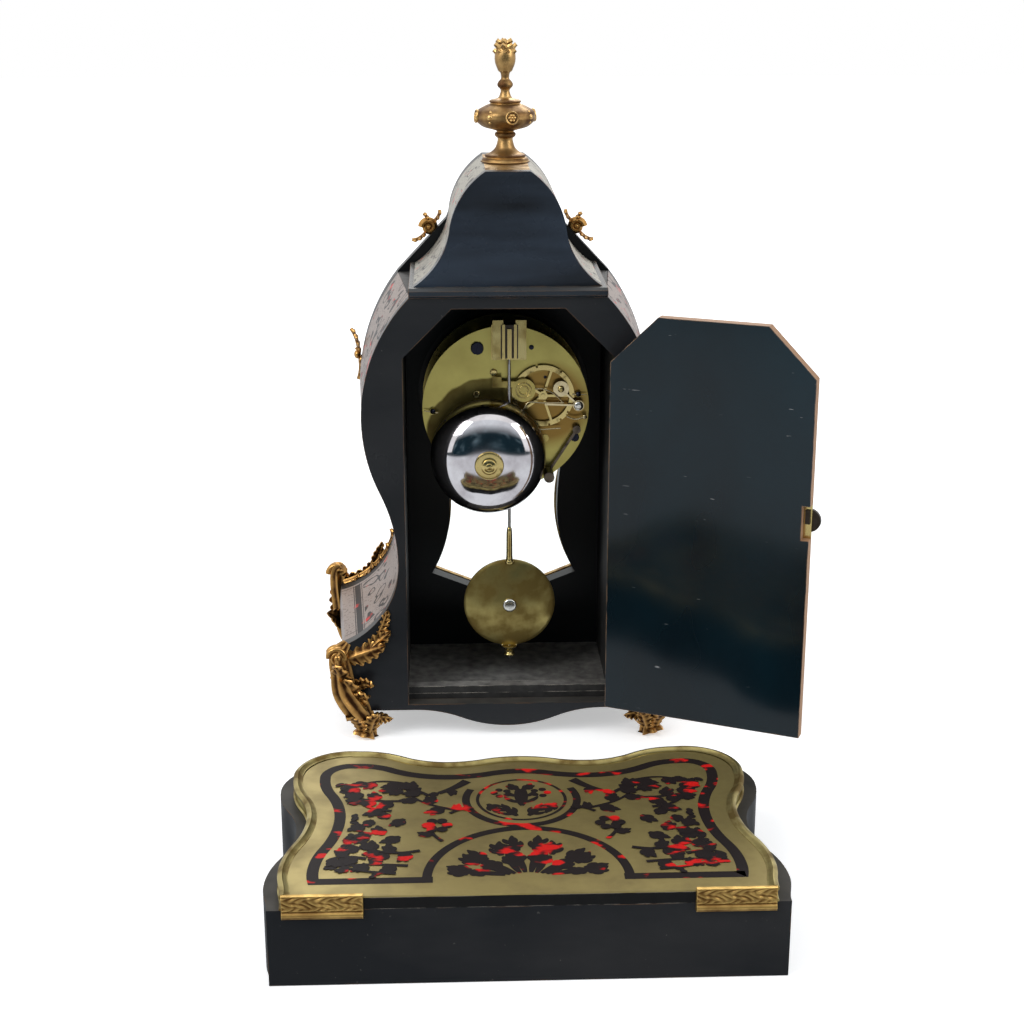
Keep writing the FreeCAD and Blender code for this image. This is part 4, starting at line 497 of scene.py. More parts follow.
# The front board is ebonised at its back and edge, and inlaid like the plinth in front.
front_look, tree = empty_material("front_inlay")
place = here(tree)
forward = facing(tree, 1, 0.6, 0.9)
brassy = foliage(tree, place, 48.0, -0.15, -0.05)
inlaid = tint(tree, brassy, shell(tree, place, 60.0), plain(0.42, 0.34, 0.13))
shader(tree, Base_Color=tint(tree, forward, plain(0.008, 0.009, 0.010), inlaid),
       Metallic=times(tree, forward, times(tree, brassy, 0.85)), Roughness=0.34, Specular_IOR_Level=0.2)
dress(front_look, "front_board")

# ------------------------------------------------------------------ finial
# A cast gilt urn: turned base, stem and collar, an urn with rosettes in round frames and
# beads between them, a neck with a knop, and a tip of overlapping leaves.


def piece(name, form, material, body="case", replaces=(), smooth=True):
    """A form in millimetres as a mesh that rides on a body; its doubled points are joined."""
    points, faces = form
    mesh = bpy.data.meshes.new(name)
    mesh.from_pydata((np.asarray(points, float) / 1000.0).tolist(), [], faces)
    work = bmesh.new()
    work.from_mesh(mesh)
    bmesh.ops.remove_doubles(work, verts=work.verts, dist=2e-6)
    bmesh.ops.recalc_face_normals(work, faces=work.faces)
    work.to_mesh(mesh)
    work.free()
    mesh.polygons.foreach_set("use_smooth", [smooth] * len(mesh.polygons))
    if smooth:
        mesh.set_sharp_from_angle(angle=math.radians(42))
    mesh.materials.append(material)
    made = bpy.data.objects.new(name, mesh)
    bpy.context.scene.collection.objects.link(made)
    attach(made, body)
    if replaces:
        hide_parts(*replaces)


def net(rows, columns, round_rows=False, round_columns=False):
    """Faces of a grid of points, closed in either direction."""
    faces = []
    for r in range(rows if round_rows else rows - 1):
        for c in range(columns if round_columns else columns - 1):
            below, beside = (r + 1) % rows, (c + 1) % columns
            faces.append((r * columns + c, r * columns + beside, below * columns + beside, below * columns + c))
    return faces


def merged(parts):
    """Several forms as one: each is its points and its faces."""
    points, faces, start = [], [], 0
    for some, theirs in parts:
        points.append(np.asarray(some, float).reshape(-1, 3))
        faces += [tuple(start + number for number in face) for face in theirs]
        start += len(points[-1])
    return np.concatenate(points), faces


def moved(form, by):
    """A form moved by three lengths."""
    return np.asarray(form[0], float) + by, form[1]


def mirrored(form, signs):
    """A form with some of its axes turned round."""
    return np.asarray(form[0], float) * signs, form[1]


def unit(arrow):
    """An arrow at length 1, or a row of them."""
    arrow = np.asarray(arrow, float)
    return arrow / np.linalg.norm(arrow, axis=-1, keepdims=True)


def circle(angle, radius=1.0):
    """Two coordinates on a circle, for one angle or many."""
    return np.stack([radius * np.cos(angle), radius * np.sin(angle)], -1)


def smooth_line(corners, count):
    """A Catmull-Rom curve through corners, resampled to count points by its parameter."""
    corners = np.asarray(corners, float)
    padded = np.vstack([2 * corners[0] - corners[1], corners, 2 * corners[-1] - corners[-2]])
    where = np.linspace(0, len(corners) - 1 - 1e-9, count)
    k = where.astype(int)
    t = (where - k)[:, None]
    a, b, c, d = (padded[k + n] for n in range(4))
    return 0.5 * (2 * b + (c - a) * t + (2 * a - 5 * b + 4 * c - d) * t ** 2
                  + (3 * b - a - 3 * c + d) * t ** 3)


def lathed(profile, sides=64, flutes=0, depth=0.0):
    """Points and faces of a turned form about +Z: profile rows are radius and height."""
    profile = np.asarray(profile, float)
    angle = np.linspace(0, math.tau, sides, endpoint=False)
    radius = profile[:, 0][:, None] * (1 + depth * np.cos(flutes * angle))
    points = np.stack([radius * np.cos(angle), radius * np.sin(angle),
                       np.repeat(profile[:, 1][:, None], sides, 1)], -1)
    return points.reshape(-1, 3), net(len(profile), sides, round_columns=True)


def ball(centre, radius, squash=(1, 1, 1), sides=14):
    """A small sphere, which may be flattened along any axis."""
    points, faces = lathed(circle(np.linspace(-math.pi / 2, math.pi / 2, sides // 2 + 1), radius), sides)
    return points * squash + centre, faces


def set_at(form, axis, origin):
    """A form drawn round +Z, moved so that its +Z lies along the axis from the origin."""
    axis = unit(axis)
    side = unit(np.cross((0, 0, 1), axis))
    return np.asarray(form[0]) @ np.stack([side, np.cross(axis, side), axis]) + origin, form[1]


def acanthus(length, wide, curl, depth=1.6, lobes=4, rows=34, columns=13, thick=0.9):
    """A closed acanthus leaf along +Z that rises along +X and curls over as it grows.

    The half width is a sine that leans to the base, cut into lobes by a sine; the face has
    a raised rib and veins, and the middle line bends by curl times the square of its share.
    """
    share = np.linspace(0.02, 1, rows)[:, None]
    across = np.linspace(-1, 1, columns)[None, :]
    half = wide / 2 * np.sin(np.pi * np.clip(share, 0, 0.995) ** 0.72) ** 0.62
    half = half * (0.62 + 0.48 * np.abs(np.sin(math.pi * lobes * share)) ** 0.7)
    veins = np.cos(math.tau * (lobes * share - 0.9 * np.abs(across)))
    relief = depth * (0.5 * np.exp(-(across / 0.2) ** 2) - 0.30 * across ** 2 + 0.26 * veins * np.abs(across))
    bend = curl * share ** 2
    step = length / (rows - 1)
    rise = np.cumsum(np.sin(bend))[:, None] * step
    run = np.cumsum(np.cos(bend))[:, None] * step
    rings = []
    for lift, order in ((relief, 1), (relief * 0.7 - thick, -1)):
        layer = np.stack([rise + lift * np.cos(bend), half * across + 0 * relief, run - lift * np.sin(bend)], -1)
        rings.append(layer[:, ::order])
    points = np.concatenate(rings, 1)
    around = points.shape[1]
    ends = [tuple(range(around)), tuple(range((rows - 1) * around, rows * around))[::-1]]
    return points.reshape(-1, 3), net(rows, around, round_columns=True) + ends


def leaf_at(at, axis, out, *shape):
    """An acanthus leaf that grows from a point along the axis, with its face turned out."""
    points, faces = acanthus(*shape)
    axis = unit(axis)
    rise = np.asarray(out, float)
    rise = unit(rise - axis * (rise @ axis))
    return points @ np.stack([rise, np.cross(axis, rise), axis]) + at, faces


FINIAL_FOOT = 373.0
URN_MIDDLE, URN_RADIUS = 29.0, 18.3
finial_profile = smooth_line([(0, 0), (14.6, 0), (15, 1.2), (14.2, 2.6), (12.8, 3.2), (12.9, 4.6), (9.4, 6.2),
                              (6.4, 9), (5.0, 13), (4.9, 15), (6.4, 16.4), (6.6, 18), (5.4, 19.4),
                              (8.5, 20.6), (14.5, 22.4), (18.6, 26), (19.0, 29), (18.0, 32), (13, 35),
                              (9.5, 36.6), (10.2, 37.8), (8.6, 38.9), (4.6, 40), (3.1, 43), (3.0, 45),
                              (4.7, 47), (4.9, 48.6), (4.0, 50.2), (2.6, 52), (2.9, 55), (4.6, 57.5)], 170)
frame_ring = smooth_line([(3.6, -1.2), (4.3, 0.2), (3.9, 1.1), (3.2, 0.7), (2.6, -0.4), (0, -0.2)], 16)
rosette = [lathed(frame_ring, 24), ball((0, 0, 1.0), 0.9, sides=10)]
rosette += [ball((*circle(math.tau * petal / 6, 1.7), 0.4), 1.0, sides=10) for petal in range(6)]
beads = [ball((0, 0, 0.2), 1.9, (1, 1, 0.8))] + [ball((0, y, -0.6), 1.1, (1, 1, 0.8), 10) for y in (-3.1, 3.1)]
parts = [lathed(finial_profile, 72)]
for number in range(8):
    way = circle(math.tau * number / 8 + 0.2)
    ornament = beads if number % 2 else rosette
    parts += [set_at(form, (*way, 0.12), (*way * URN_RADIUS, URN_MIDDLE)) for form in ornament]
# Four rows of tip leaves: height of the row, its radius, how many leaves and how tall they are.
for row, (height, radius, count, tall) in enumerate((
        (57, 4.4, 6, 9.5), (61.5, 6.2, 7, 9.5), (66, 6.4, 7, 8.5), (70, 4.6, 5, 7.0))):
    for number in range(count):
        out = circle(math.tau * (number + 0.5 * (row % 2)) / count)
        parts.append(leaf_at((*out * radius * 0.72, height - 2), (0, 0, 1), (*out, 0), tall, 6.2, 0.9, 1.6, 2,
                             12, 7, 1.6))
parts.append(lathed(smooth_line([(4.4, 56.5), (6.4, 62), (6.2, 68), (3.6, 73.5), (0, 76.4)], 24), 32))
finial_gilt = gilt("finial_gilt", plain(0.66, 0.42, 0.16), plain(0.11, 0.05, 0.018), 0.28)
piece("finial_cast", moved(merged(parts), (0, 0, FINIAL_FOOT)), finial_gilt, replaces=("finial",))

# ------------------------------------------------------------------ gilt legs and side leafage
# Four cast legs on the lower corners: a scrolled knee, a leafy shank and a foot.  Leaves run
# from each knee along the edge of the side.

PAD_X, PAD_Y = 94.0, 50.0
WAIST_HIGH = 121.0
KNEE_PAST_EAR = 12.0


def swept(path, radii, sides=18, flutes=5, depth=0.12):
    """A fluted tube along a path of points, with a radius for each."""
    path = np.asarray(path, float)
    ahead = unit(np.gradient(path, axis=0))
    side = unit(np.cross(ahead, (0, 1, 0)))
    other = np.cross(ahead, side)
    angle = np.linspace(0, math.tau, sides, endpoint=False)
    width = np.broadcast_to(radii, len(path))[:, None] * (1 + depth * np.cos(flutes * angle))
    points = (path[:, None] + width[..., None] * (np.cos(angle)[None, :, None] * side[:, None]
                                                  + np.sin(angle)[None, :, None] * other[:, None]))
    ends = [tuple(range(sides))[::-1], tuple(range((len(path) - 1) * sides, len(path) * sides))]
    return points.reshape(-1, 3), net(len(path), sides, round_columns=True) + ends


def volute(start, turns):
    """A flat spiral in the XZ plane from radius start inwards, and its radius at each point."""
    angle = np.linspace(0, math.tau * turns, 46)
    radius = start * (1 - 0.82 * np.linspace(0, 1, 46))
    return np.stack([radius * np.cos(angle), 0 * angle, radius * np.sin(angle)], -1), radius


# For each board: the side it lies on, half width and height of its ears, half width of its waist.
for face, back, ear_half, ear_high, waist_half in (
        ("rear", -1, 108.0, 66.0, 71.6), ("front", 1, 115.0, 72.0, 76.0)):
    # The shank's middle line; in front it stands further in below its scroll.
    shift, lift = (-5.0, 12.0) if face == "front" else (0.0, 0.0)
    line = smooth_line([(PAD_X + 2, PAD_Y + 3, 0.2), (PAD_X + 1, PAD_Y + 2, 5),
                        (PAD_X + 2, PAD_Y + 3, 13), (PAD_X + 8, PAD_Y + 5, 23),
                        (ear_half + 0.5 + shift, 55.5, 34), (ear_half + 2.5 + shift / 2, 56, 46 + lift / 2),
                        (ear_half + 3.5 + shift / 3, 55.5, ear_high - 7 + lift),
                        (ear_half - 2.0, 53, ear_high + 1 + lift * 0.7)], 60)
    radii = smooth_line([(8.2,), (5.6,), (6.2,), (8.2,), (7.6,), (6.6,), (6.0,), (3.0,)], 60)[:, 0]
    eye = np.array([ear_half + 4.5 + shift / 3, 56.0, ear_high - 7 + lift])
    spiral, size = volute(6.4, 1.7)
    parts = [swept(line, radii, 40, 7, 0.16), swept(spiral + eye, 1.3 + 0.2 * size, 12, 3, 0.05),
             swept(spiral + eye + (0, 3.5, 0), 1.0 + 0.15 * size, 12, 3, 0.05), ball(eye + (0, 4, 0), 2.6)]
    for at, axis, out, long, wide, curl in (
            # Toe leaves, shank leaves and side leaves, then the spray along the board's edge.
            ((PAD_X + 5, PAD_Y + 5, 4), (0.30, 0.16, 1), (0.7, 0.7, 0), 17, 14, 1.3),
            ((PAD_X - 1, PAD_Y + 7, 3), (-0.25, 0.1, 1), (-0.4, 0.9, 0), 18, 13, 0.9),
            ((PAD_X - 1, PAD_Y + 5, 14), (-1, 0.05, 0.1), (0.0, 0.6, 0.8), 16, 9, -0.9),
            ((PAD_X + 6, PAD_Y + 7, 17), (0.2, 0.1, 1), (0.4, 0.9, 0), 30, 17, 0.6),
            ((PAD_X + 10, PAD_Y + 4, 12), (0.35, 0, 1), (0.9, 0.1, 0), 24, 12, 0.5),
            ((ear_half - 3, 58, 22), (-0.55, 0.1, 0.8), (-0.3, 0.9, -0.2), 21, 11, 1.5),
            ((ear_half - 5, 58, 36 + lift), (-0.85, 0.1, 0.5), (-0.2, 0.9, -0.3), 17, 10, 1.4),
            ((ear_half + 1, 58, 30 + lift), (0.1, 0.15, 1), (0.3, 0.95, 0), 28, 15, 0.7),
            ((ear_half - 1, 56.5, ear_high - 9 + lift / 2), (-1, 0.0, 0.35), (0.1, 1, 0.3), 27, 15, 0.35),
            ((ear_half - 14, 56.0, ear_high - 5 + lift / 2), (-0.8, 0, 0.75), (0.4, 1, -0.3), 22, 11, 0.4),
            ((ear_half - 22, 55.6, ear_high + 7 + lift / 3), (-0.45, 0, 1), (0.5, 1, 0), 18, 8, 0.3),
            ((ear_half + 2, 49, 30 + lift), (0.1, -0.7, 0.6), (0.95, 0, 0.2), 20, 13, 1.0),
            ((ear_half - 1, 47, 18), (0.1, -0.9, -0.1), (0.95, 0, 0.2), 18, 11, 1.0)):
        parts.append(leaf_at(at, axis, out, long, wide, curl, 2.4, 5, 36, 15, 1.3))
    if face == "front":
        # Leafy edging up the hollow of the side: an arc that ends upright at the waist.
        across = ear_half - waist_half
        round_by = (across ** 2 + (WAIST_HIGH - ear_high) ** 2) / (2 * across)
        turn = np.linspace(math.atan2(ear_high - WAIST_HIGH, across - round_by), -math.pi, 60)
        arc_line = np.column_stack([waist_half + round_by + round_by * np.cos(turn), 0 * turn + 46.0,
                                    WAIST_HIGH + round_by * np.sin(turn)])
        parts.append(swept(arc_line[2:52] + (0.3, 2.0, 0.3), np.linspace(1.9, 0.9, 50), 16, 4, 0.2))
        for spot_on, long in ((5, 9), (14, 12), (24, 9), (34, 8), (43, 9)):
            way = unit(arc_line[spot_on + 1] - arc_line[spot_on])
            rise = np.array([way[2], 0, -way[0]])
            parts.append(leaf_at(arc_line[spot_on] + rise * 0.8 + (0, 2, 0), way, rise, long, long * 0.8, 0.9,
                                 1.6, 3, 22, 11, 1.0))
    points, faces = merged(parts)
    limit = ear_half + KNEE_PAST_EAR
    points = np.clip(points, (-limit, -np.inf, 0.0), (limit, np.inf, np.inf))
    for hand, right in (("right", 1), ("left", -1)):
        piece(f"leg_{face}_{hand}_cast", mirrored((points, faces), (right, back, 1)), gilt_cast,
              replaces=(f"leg_{face}_{hand}",))

# Small leafy mounts: one on each shoulder of the front board and one scroll beside the hood.
hip = [ball((99.5, 49, 238), 2.6, (0.9, 1.5, 1.2))]
for at, axis, long, wide in (((98.5, 49, 238), (0.12, 0, 1), 18, 10), ((98.5, 49, 238), (-0.1, 0, -1), 17, 9),
                             ((98.8, 51, 236), (0.1, 0.8, 0.6), 8, 7)):
    hip.append(leaf_at(at, axis, (1, 0, 0), long, wide, 0.5, 1.8, 4, 26, 11, 1.2))
spiral, size = volute(4.6, 1.5)
arch_leaf = [swept(spiral + (49.5, 49, 324.5), 1.5 + 0.2 * size, 14, 4, 0.15), ball((49.5, 49, 324.5), 2.2)]
for at, axis, long in (((47, 49, 328), (-0.75, 0, 0.7), 9), ((52, 49, 321), (0.7, 0, -0.7), 10),
                       ((50, 49, 327), (0.2, 0, 1), 7)):
    arch_leaf.append(leaf_at(at, axis, (0.7, 0, 0.7), long, 8, 0.9, 1.6, 3, 22, 11, 1.2))
for hand, right in (("right", 1), ("left", -1)):
    for name, parts, node in (("hip_mount_", hip, "hip_mounts"), ("arch_scroll_", arch_leaf, "arch_scrolls")):
        piece(name + hand, mirrored(merged(parts), (right, 1, 1)), gilt_cast,
              replaces=(node,) if right == 1 else ())

# ------------------------------------------------------------------ bell and its stand
# The bell is spun and polished nickelled bronze; a brass washer, nut and slotted screw hold
# it on its post.

BELL_AT = (-12.0, -5.0, 184.0)
BELL_RADIUS, BELL_RISE, BELL_RIM = 38.0, 26.0, 11.5
BELL_WALL, BELL_HOLE = 1.8, 2.05
BELL_FULLNESS = 2.7
BELL_TOP = BELL_RIM + BELL_RISE


def along_back(form, at):
    """A form turned about +Z laid along -Y from a point, as things on the back plate stand."""
    points = np.asarray(form[0])
    return np.stack([points[:, 0], -points[:, 2], points[:, 1]], -1) + at, form[1]


def dome(radius, rise):
    """Radius and height of a full-shouldered dome from its rim to its hole."""
    wide = radius * np.cos(np.linspace(0, math.pi / 2, 60)) ** (2 / BELL_FULLNESS)
    wide = np.maximum(wide, BELL_HOLE)
    return np.stack([wide, rise * (1 - (wide / radius) ** BELL_FULLNESS) ** (1 / BELL_FULLNESS)], -1)


def block(low, high):
    """A plain rectangular bar between two corners."""
    corners = [(x, y, z) for z in (low[2], high[2]) for y in (low[1], high[1]) for x in (low[0], high[0])]
    faces = [(0, 2, 3, 1), (4, 5, 7, 6), (0, 1, 5, 4), (1, 3, 7, 5), (3, 2, 6, 7), (2, 0, 4, 6)]
    return np.array(corners), faces


def turned_by(form, angle):
    """A form turned about its own +Z."""
    spin = np.array([[math.cos(angle), math.sin(angle), 0], [-math.sin(angle), math.cos(angle), 0], [0, 0, 1]])
    return np.asarray(form[0]) @ spin, form[1]


def screw_head(radius, rise, slot_wide):
    """A cheese head with a slot: two half discs and a low bridge between them."""
    half, count = slot_wide / 2, 26
    parts = [block((-radius * 0.97, -half, 0), (radius * 0.97, half, rise * 0.45))]
    start = math.asin(half / radius)
    for side in (0, math.pi):
        rim = circle(np.linspace(start, math.pi - start, count) + side, radius)
        rings = [np.column_stack([line, np.full(count, high)]) for line, high in
                 ((rim, 0), (rim, rise * 0.8), (rim * (1 - 0.35 / radius), rise))]
        flat = (0, count, 2 * count, 3 * count - 1, 2 * count - 1, count - 1)
        ends = [tuple(range(2 * count, 3 * count)), flat, tuple(range(count))[::-1]]
        parts.append((np.concatenate(rings), net(3, count) + ends))
    return merged(parts)


lip = [(BELL_RADIUS - BELL_WALL * 0.5, -0.5)]
inner = dome(BELL_RADIUS - BELL_WALL, BELL_RISE - BELL_WALL)[::-1]
profile = np.vstack([lip, dome(BELL_RADIUS, BELL_RISE), inner, lip]) + (0, BELL_RIM)
nickel, tree = empty_material("polished_nickel")
smear = mottle(tree, 60.0, 0.40, 0.8, detail=6.0)
# The darker purple towards the rim, which is also rougher, is a painted reflection of the case's black inside.
rim_reflection_painted = clamped(tree, axes(tree)[1], -0.026, -0.018)
worn = tint(tree, smear, plain(0.74, 0.72, 0.74), plain(0.42, 0.38, 0.40))
shader(tree, Base_Color=tint(tree, rim_reflection_painted, worn, plain(0.10, 0.07, 0.09)), Metallic=1.0,
       Roughness=plus(tree, clamped(tree, smear, 0.0, 1.0, 0.07, 0.16), times(tree, rim_reflection_painted, 0.2)),
       Normal=bump(tree, noise(tree, here(tree), 26.0, 2.0), 0.0006, 0.14))
piece("bell_spun", along_back(lathed(profile, 128), BELL_AT), nickel, replaces=("bell",))

washer = smooth_line([(BELL_HOLE, 0.0), (9.0, 0.0), (9.0, 0.9), (8.6, 1.2), (5.2, 1.35)], 20)
post = [(0, 0), (4.0, 0), (4.0, BELL_TOP - BELL_WALL), (2, BELL_TOP - BELL_WALL), (2.0, BELL_TOP)]
post += [(radius, rise + BELL_TOP) for radius, rise in [*washer, (4.7, 1.5), (4.6, 2.7), (3.6, 3.3), (0, 3.3)]]
piece("bell_post", along_back(lathed(post), BELL_AT), bright_brass, replaces=("bell_stand",))
screw_at = (BELL_AT[0], BELL_AT[1] - BELL_TOP - 3.3, BELL_AT[2])
piece("bell_screw", along_back(turned_by(screw_head(2.4, 1.2, 0.7), 0.7), screw_at), bright_brass)

# ------------------------------------------------------------------ movement's back
# Round brass plates pinned to pillars, with the suspension block, the count wheel's work,
# blued screws, and taper pins through the pillars' ends.

PLATE_BACK = -5.0
DIAL_HIGH = 213.0
PIN_RING, PIN_LONG = 48.7, 9.0
PIN_THIN, PIN_THICK = 0.33, 0.605


def from_axis(tree, x, z):
    """Distance in metres from an axis that runs along Y."""
    return vector(tree, "LENGTH", vector(tree, "MULTIPLY", vector(tree, "SUBTRACT", spot(tree), (x, 0.0, z)),
                                         (1, 0, 1)))


plate_look, tree = empty_material("plate_brass")
# An old arc of handling marks and tarnish on the lower left, about the going barrel.
ragged = plus(tree, from_axis(tree, -0.010, 0.190), times(tree, noise(tree, here(tree), 90.0), 0.004))
arc = times(tree, clamped(tree, ragged, 0.0462, 0.0448), clamped(tree, axes(tree)[0], 0.004, -0.002))
under_wheel = clamped(tree, from_axis(tree, 0.0275, 0.215), 0.031, 0.022)
patch = mottle(tree, 48.0, 0.42, 0.72, detail=6.0)
dull = times(tree, arc, clamped(tree, patch, 0, 1, 0.75, 1.0))
colour = layers(tree, plain(0.60, 0.52, 0.16), (times(tree, patch, 0.35), plain(0.30, 0.22, 0.06)),
                (times(tree, under_wheel, 0.85), plain(0.30, 0.155, 0.035)), (dull, plain(0.115, 0.075, 0.02)))
shader(tree, Base_Color=colour, Metallic=0.93, Roughness=clamped(tree, dull, 0.0, 1.0, 0.30, 0.46),
       Normal=bump(tree, noise(tree, here(tree, (30, 30, 1500)), 1.0, 2.0), 0.00002, 0.5))
dress(plate_look, "movement_back_plate")

block_look, tree = empty_material("block_brass")
colour = tint(tree, mottle(tree, 90.0, 0.4, 0.7), plain(0.66, 0.55, 0.24), plain(0.36, 0.26, 0.08))
shader(tree, Base_Color=colour, Metallic=0.95, Roughness=0.27,
       Normal=bump(tree, noise(tree, here(tree, (900, 900, 12)), 1.0, 2.0), 0.00004, 0.8))
dress(block_look, "suspension_block")

for name, x, z, radius, turn, node in (("screw_block", -18.7, 253.3, 4.2, 1.35, ("plate_screws",)),
                                       ("screw_lever", 45.8, 192.6, 2.9, 1.2, ())):
    piece(name, along_back(turned_by(screw_head(radius, 1.9, radius * 0.24), turn), (x, PLATE_BACK, z)), blued_and_hole_shade,
          replaces=node)

parts = []
for degrees in (11, 182, 270):
    x, z = circle(math.radians(degrees), PIN_RING)
    lie = circle(math.radians(degrees + 168), PIN_LONG)
    line = np.linspace(-0.6, 0.45, 8)[:, None] * (lie[0], 0, lie[1]) + (x, PLATE_BACK - 3.0, DIAL_HIGH + z)
    parts.append(swept(line, np.linspace(PIN_THIN, PIN_THICK, 8), 10, 0, 0))
piece("taper_pins", merged(parts), wire_brass)

# The suspension's cheeks and regulating slide, in front of the crutch's top, with its side plate, and a thin
# dark sheet behind the cheeks as painted shade in their recess.
slide = merged([block((x, -18.6, 248.6), (x + wide, -17.25, top)) for x, wide, top in
                ((-2.8, 1.9, 271.5), (0.6, 2.8, 268.5), (4.9, 1.9, 271.5))]
               + [block((-9.6, -12.0, 247.5), (-9.02, -5.0, 270.0))])
piece("suspension_slide", slide, bright_brass, smooth=False)
piece("suspension_recess_shade", block((-3.6, -17.25, 249.0), (7.6, -17.02, 271.0)), dark_metal_and_recess_shade,
      smooth=False)
# Strike work: wires on the locking lever, and springs held by studs outside the count wheel.
for name, body, deep, wires, studs in (
        ("lever_wires", "locking_lever", 6.1, (((19, 227), (24, 227), (31, 224), (37, 218.2)),
                                               ((11.5, 213.5), (15, 218), (24, 217.6), (38, 217.6))), ()),
        ("strike_springs", "case", 5.0, (((40, 208), (46, 206), (52, 207.5)),
                                         ((12, 206), (18.5, 199.6), (36, 200))),
         ((52.0, 207.5, 1.5), (18.5, 199.4, 1.0)))):
    parts = [swept(smooth_line([(x, PLATE_BACK - deep, z) for x, z in corners], 26), 0.5, 10, 0, 0)
             for corners in wires]
    for x, z, radius in studs:
        stud = [(radius * 0.7, 0), (radius * 0.7, 4.2), (radius, 4.6), (radius * 0.9, 5.6), (0, 6.0)]
        parts.append(along_back(lathed(smooth_line(stud, 20), 24), (x, PLATE_BACK, z)))
    piece(name, merged(parts), wire_brass, body)

# Dark pillar ends, and dark discs on the plate that paint the shade in its holes.
pillar_end = ball((0, 0, 2.8), 1.9, (1, 1, 0.7))
parts = [along_back(pillar_end, (x, PLATE_BACK, z)) for x, z in ((-48.2, 211.6), (47.8, 222.4))]
for x, z, radius in ((16.8, 253.6, 1.7), (26.0, 233.5, 1.1), (8.0, 196.0, 1.3)):
    parts.append(along_back(lathed([(0, 0.12), (radius * 0.8, 0.16), (radius, 0.02)], 24), (x, PLATE_BACK, z)))
piece("pillar_ends_and_hole_shade", merged(parts), blued_and_hole_shade)

# Raised rings on the cap over the count wheel, oil sinks and the ends of arbors.
parts = []
for radius, tall in ((5.4, 0.5), (3.4, 0.7)):
    ring = [(radius - 0.9, 0), (radius - 0.7, tall), (radius - 0.2, tall), (radius, 0)]
    parts.append(along_back(lathed(smooth_line(ring, 10), 48), (11.6, PLATE_BACK - 5.5, 226.0)))
piece("count_cap_rings", merged(parts), bright_brass)
parts = [along_back(ball((0, 0, 0.6), 2.2, (1, 1, 0.6), 20), (36.2, PLATE_BACK - 5.0, 226.6))]
for x, z, radius in ((-19.4, 222.3, 1.9), (0.0, 213.0, 2.6), (-8.0, 237.0, 1.9)):
    sink = [(0, 0.15), (radius * 0.7, 0.2), (radius, 0.35), (radius * 1.25, 0.02)]
    parts.append(along_back(lathed(smooth_line(sink, 10), 28), (x, PLATE_BACK - 0.6, z)))
piece("arbor_caps", merged(parts), bright_brass)
button = lathed(smooth_line([(0, 1.6), (1.8, 1.5), (2.9, 0.9), (3.1, 0), (2.4, 0)], 18), 32)
piece("lever_button", along_back(button, (47.8, PLATE_BACK - 5.8, 215.3)), silvered, "locking_lever")

# ------------------------------------------------------------------ pendulum
# A brass-faced lens on a steel rod, held by a slotted nut, with a fluted rating nut under it.

BOB_X, BOB_Y, BOB_Z = 2.0, -14.0, 79.4
BOB_RADIUS, BOB_HALF = 30.8, 5.5

swell = np.linspace(0, 1, 28)
face = np.stack([BOB_RADIUS * swell, BOB_HALF * (1 - swell ** 2) ** 0.85 + 0.9 * swell ** 6], -1)
profile = np.vstack([face[:-1], [(BOB_RADIUS, 0.7), (BOB_RADIUS, -0.7)], (face * (1, -1))[:-1][::-1]])
bob_look = brass("bob_brass", plain(0.44, 0.36, 0.13), plain(0.24, 0.17, 0.05), 0.30, 0.7, 60.0)
piece("bob_lens", along_back(lathed(profile, 96), (BOB_X, BOB_Y, BOB_Z)), bob_look, "pendulum",
      ("pendulum_bob",))
nut = lathed([(4.9, -0.6), (4.9, 0.8), (4.3, 1.6), (3.0, 1.9), (0, 1.9)], 10)
piece("bob_nut", along_back(merged([nut, turned_by(screw_head(2.2, 1.2, 0.7), 0.4)]),
                            (BOB_X, BOB_Y - BOB_HALF, BOB_Z)), silvered, "pendulum")
collar = smooth_line([(1.05, 0), (3.4, 0.4), (3.6, 2.2), (2.2, 4), (1.9, 22), (1.05, 26)], 40)
piece("rod_ferrule", moved(lathed(collar, 32), (BOB_X, BOB_Y, BOB_Z + BOB_RADIUS - 3)), bright_brass,
      "pendulum")
cup = smooth_line([(1.05, 0), (3.2, 0.2), (3.7, 1.2), (2.6, 2.6), (3.0, 4.2), (4.9, 6.6), (5.1, 7.4),
                   (1.05, 7.45)], 40)
piece("rating_cup", moved(lathed(cup, 40, 20, 0.03), (BOB_X, BOB_Y, BOB_Z - BOB_RADIUS - 7.5)), bright_brass,
      "pendulum", ("rating_nut",))
rod_look, tree = empty_material("rod_steel")
shader(tree, Base_Color=plain(0.42, 0.41, 0.40), Metallic=1.0, Roughness=0.26)
dress(rod_look, "pendulum_rod")

# ------------------------------------------------------------------ dial and glazed front door
# A cast gilt dial with twelve enamel tablets, blued hands and a gilt door with a glass.

enamel, tree = empty_material("enamel")
shader(tree, Base_Color=plain(0.82, 0.82, 0.78), Roughness=0.12, Coat_Weight=0.5, Coat_Roughness=0.05)
dress(enamel, "dial_cartouches")
glass, tree = empty_material("window_glass")
clear = put(tree, "ShaderNodeBsdfTransparent", {"Color": plain(0.97, 0.985, 0.98)}).outputs[0]
shine = put(tree, "ShaderNodeBsdfGlossy", {"Color": WHITE, "Roughness": 0.03}).outputs[0]
glance = put(tree, "ShaderNodeFresnel", {"IOR": 1.45}).outputs[0]
put(tree, "ShaderNodeOutputMaterial", {"Surface": seen_by(tree, glance, clear, shine)})
dress(glass, "front_door_glass")

NUMERALS = ("XII", "I", "II", "III", "IIII", "V", "VI", "VII", "VIII", "IX", "X", "XI")
TABLET_RING, TABLET_FACE = 47.0, 50.5
NUMERAL_HIGH = 9.0
BOLD, FINE = 0.17, 0.07
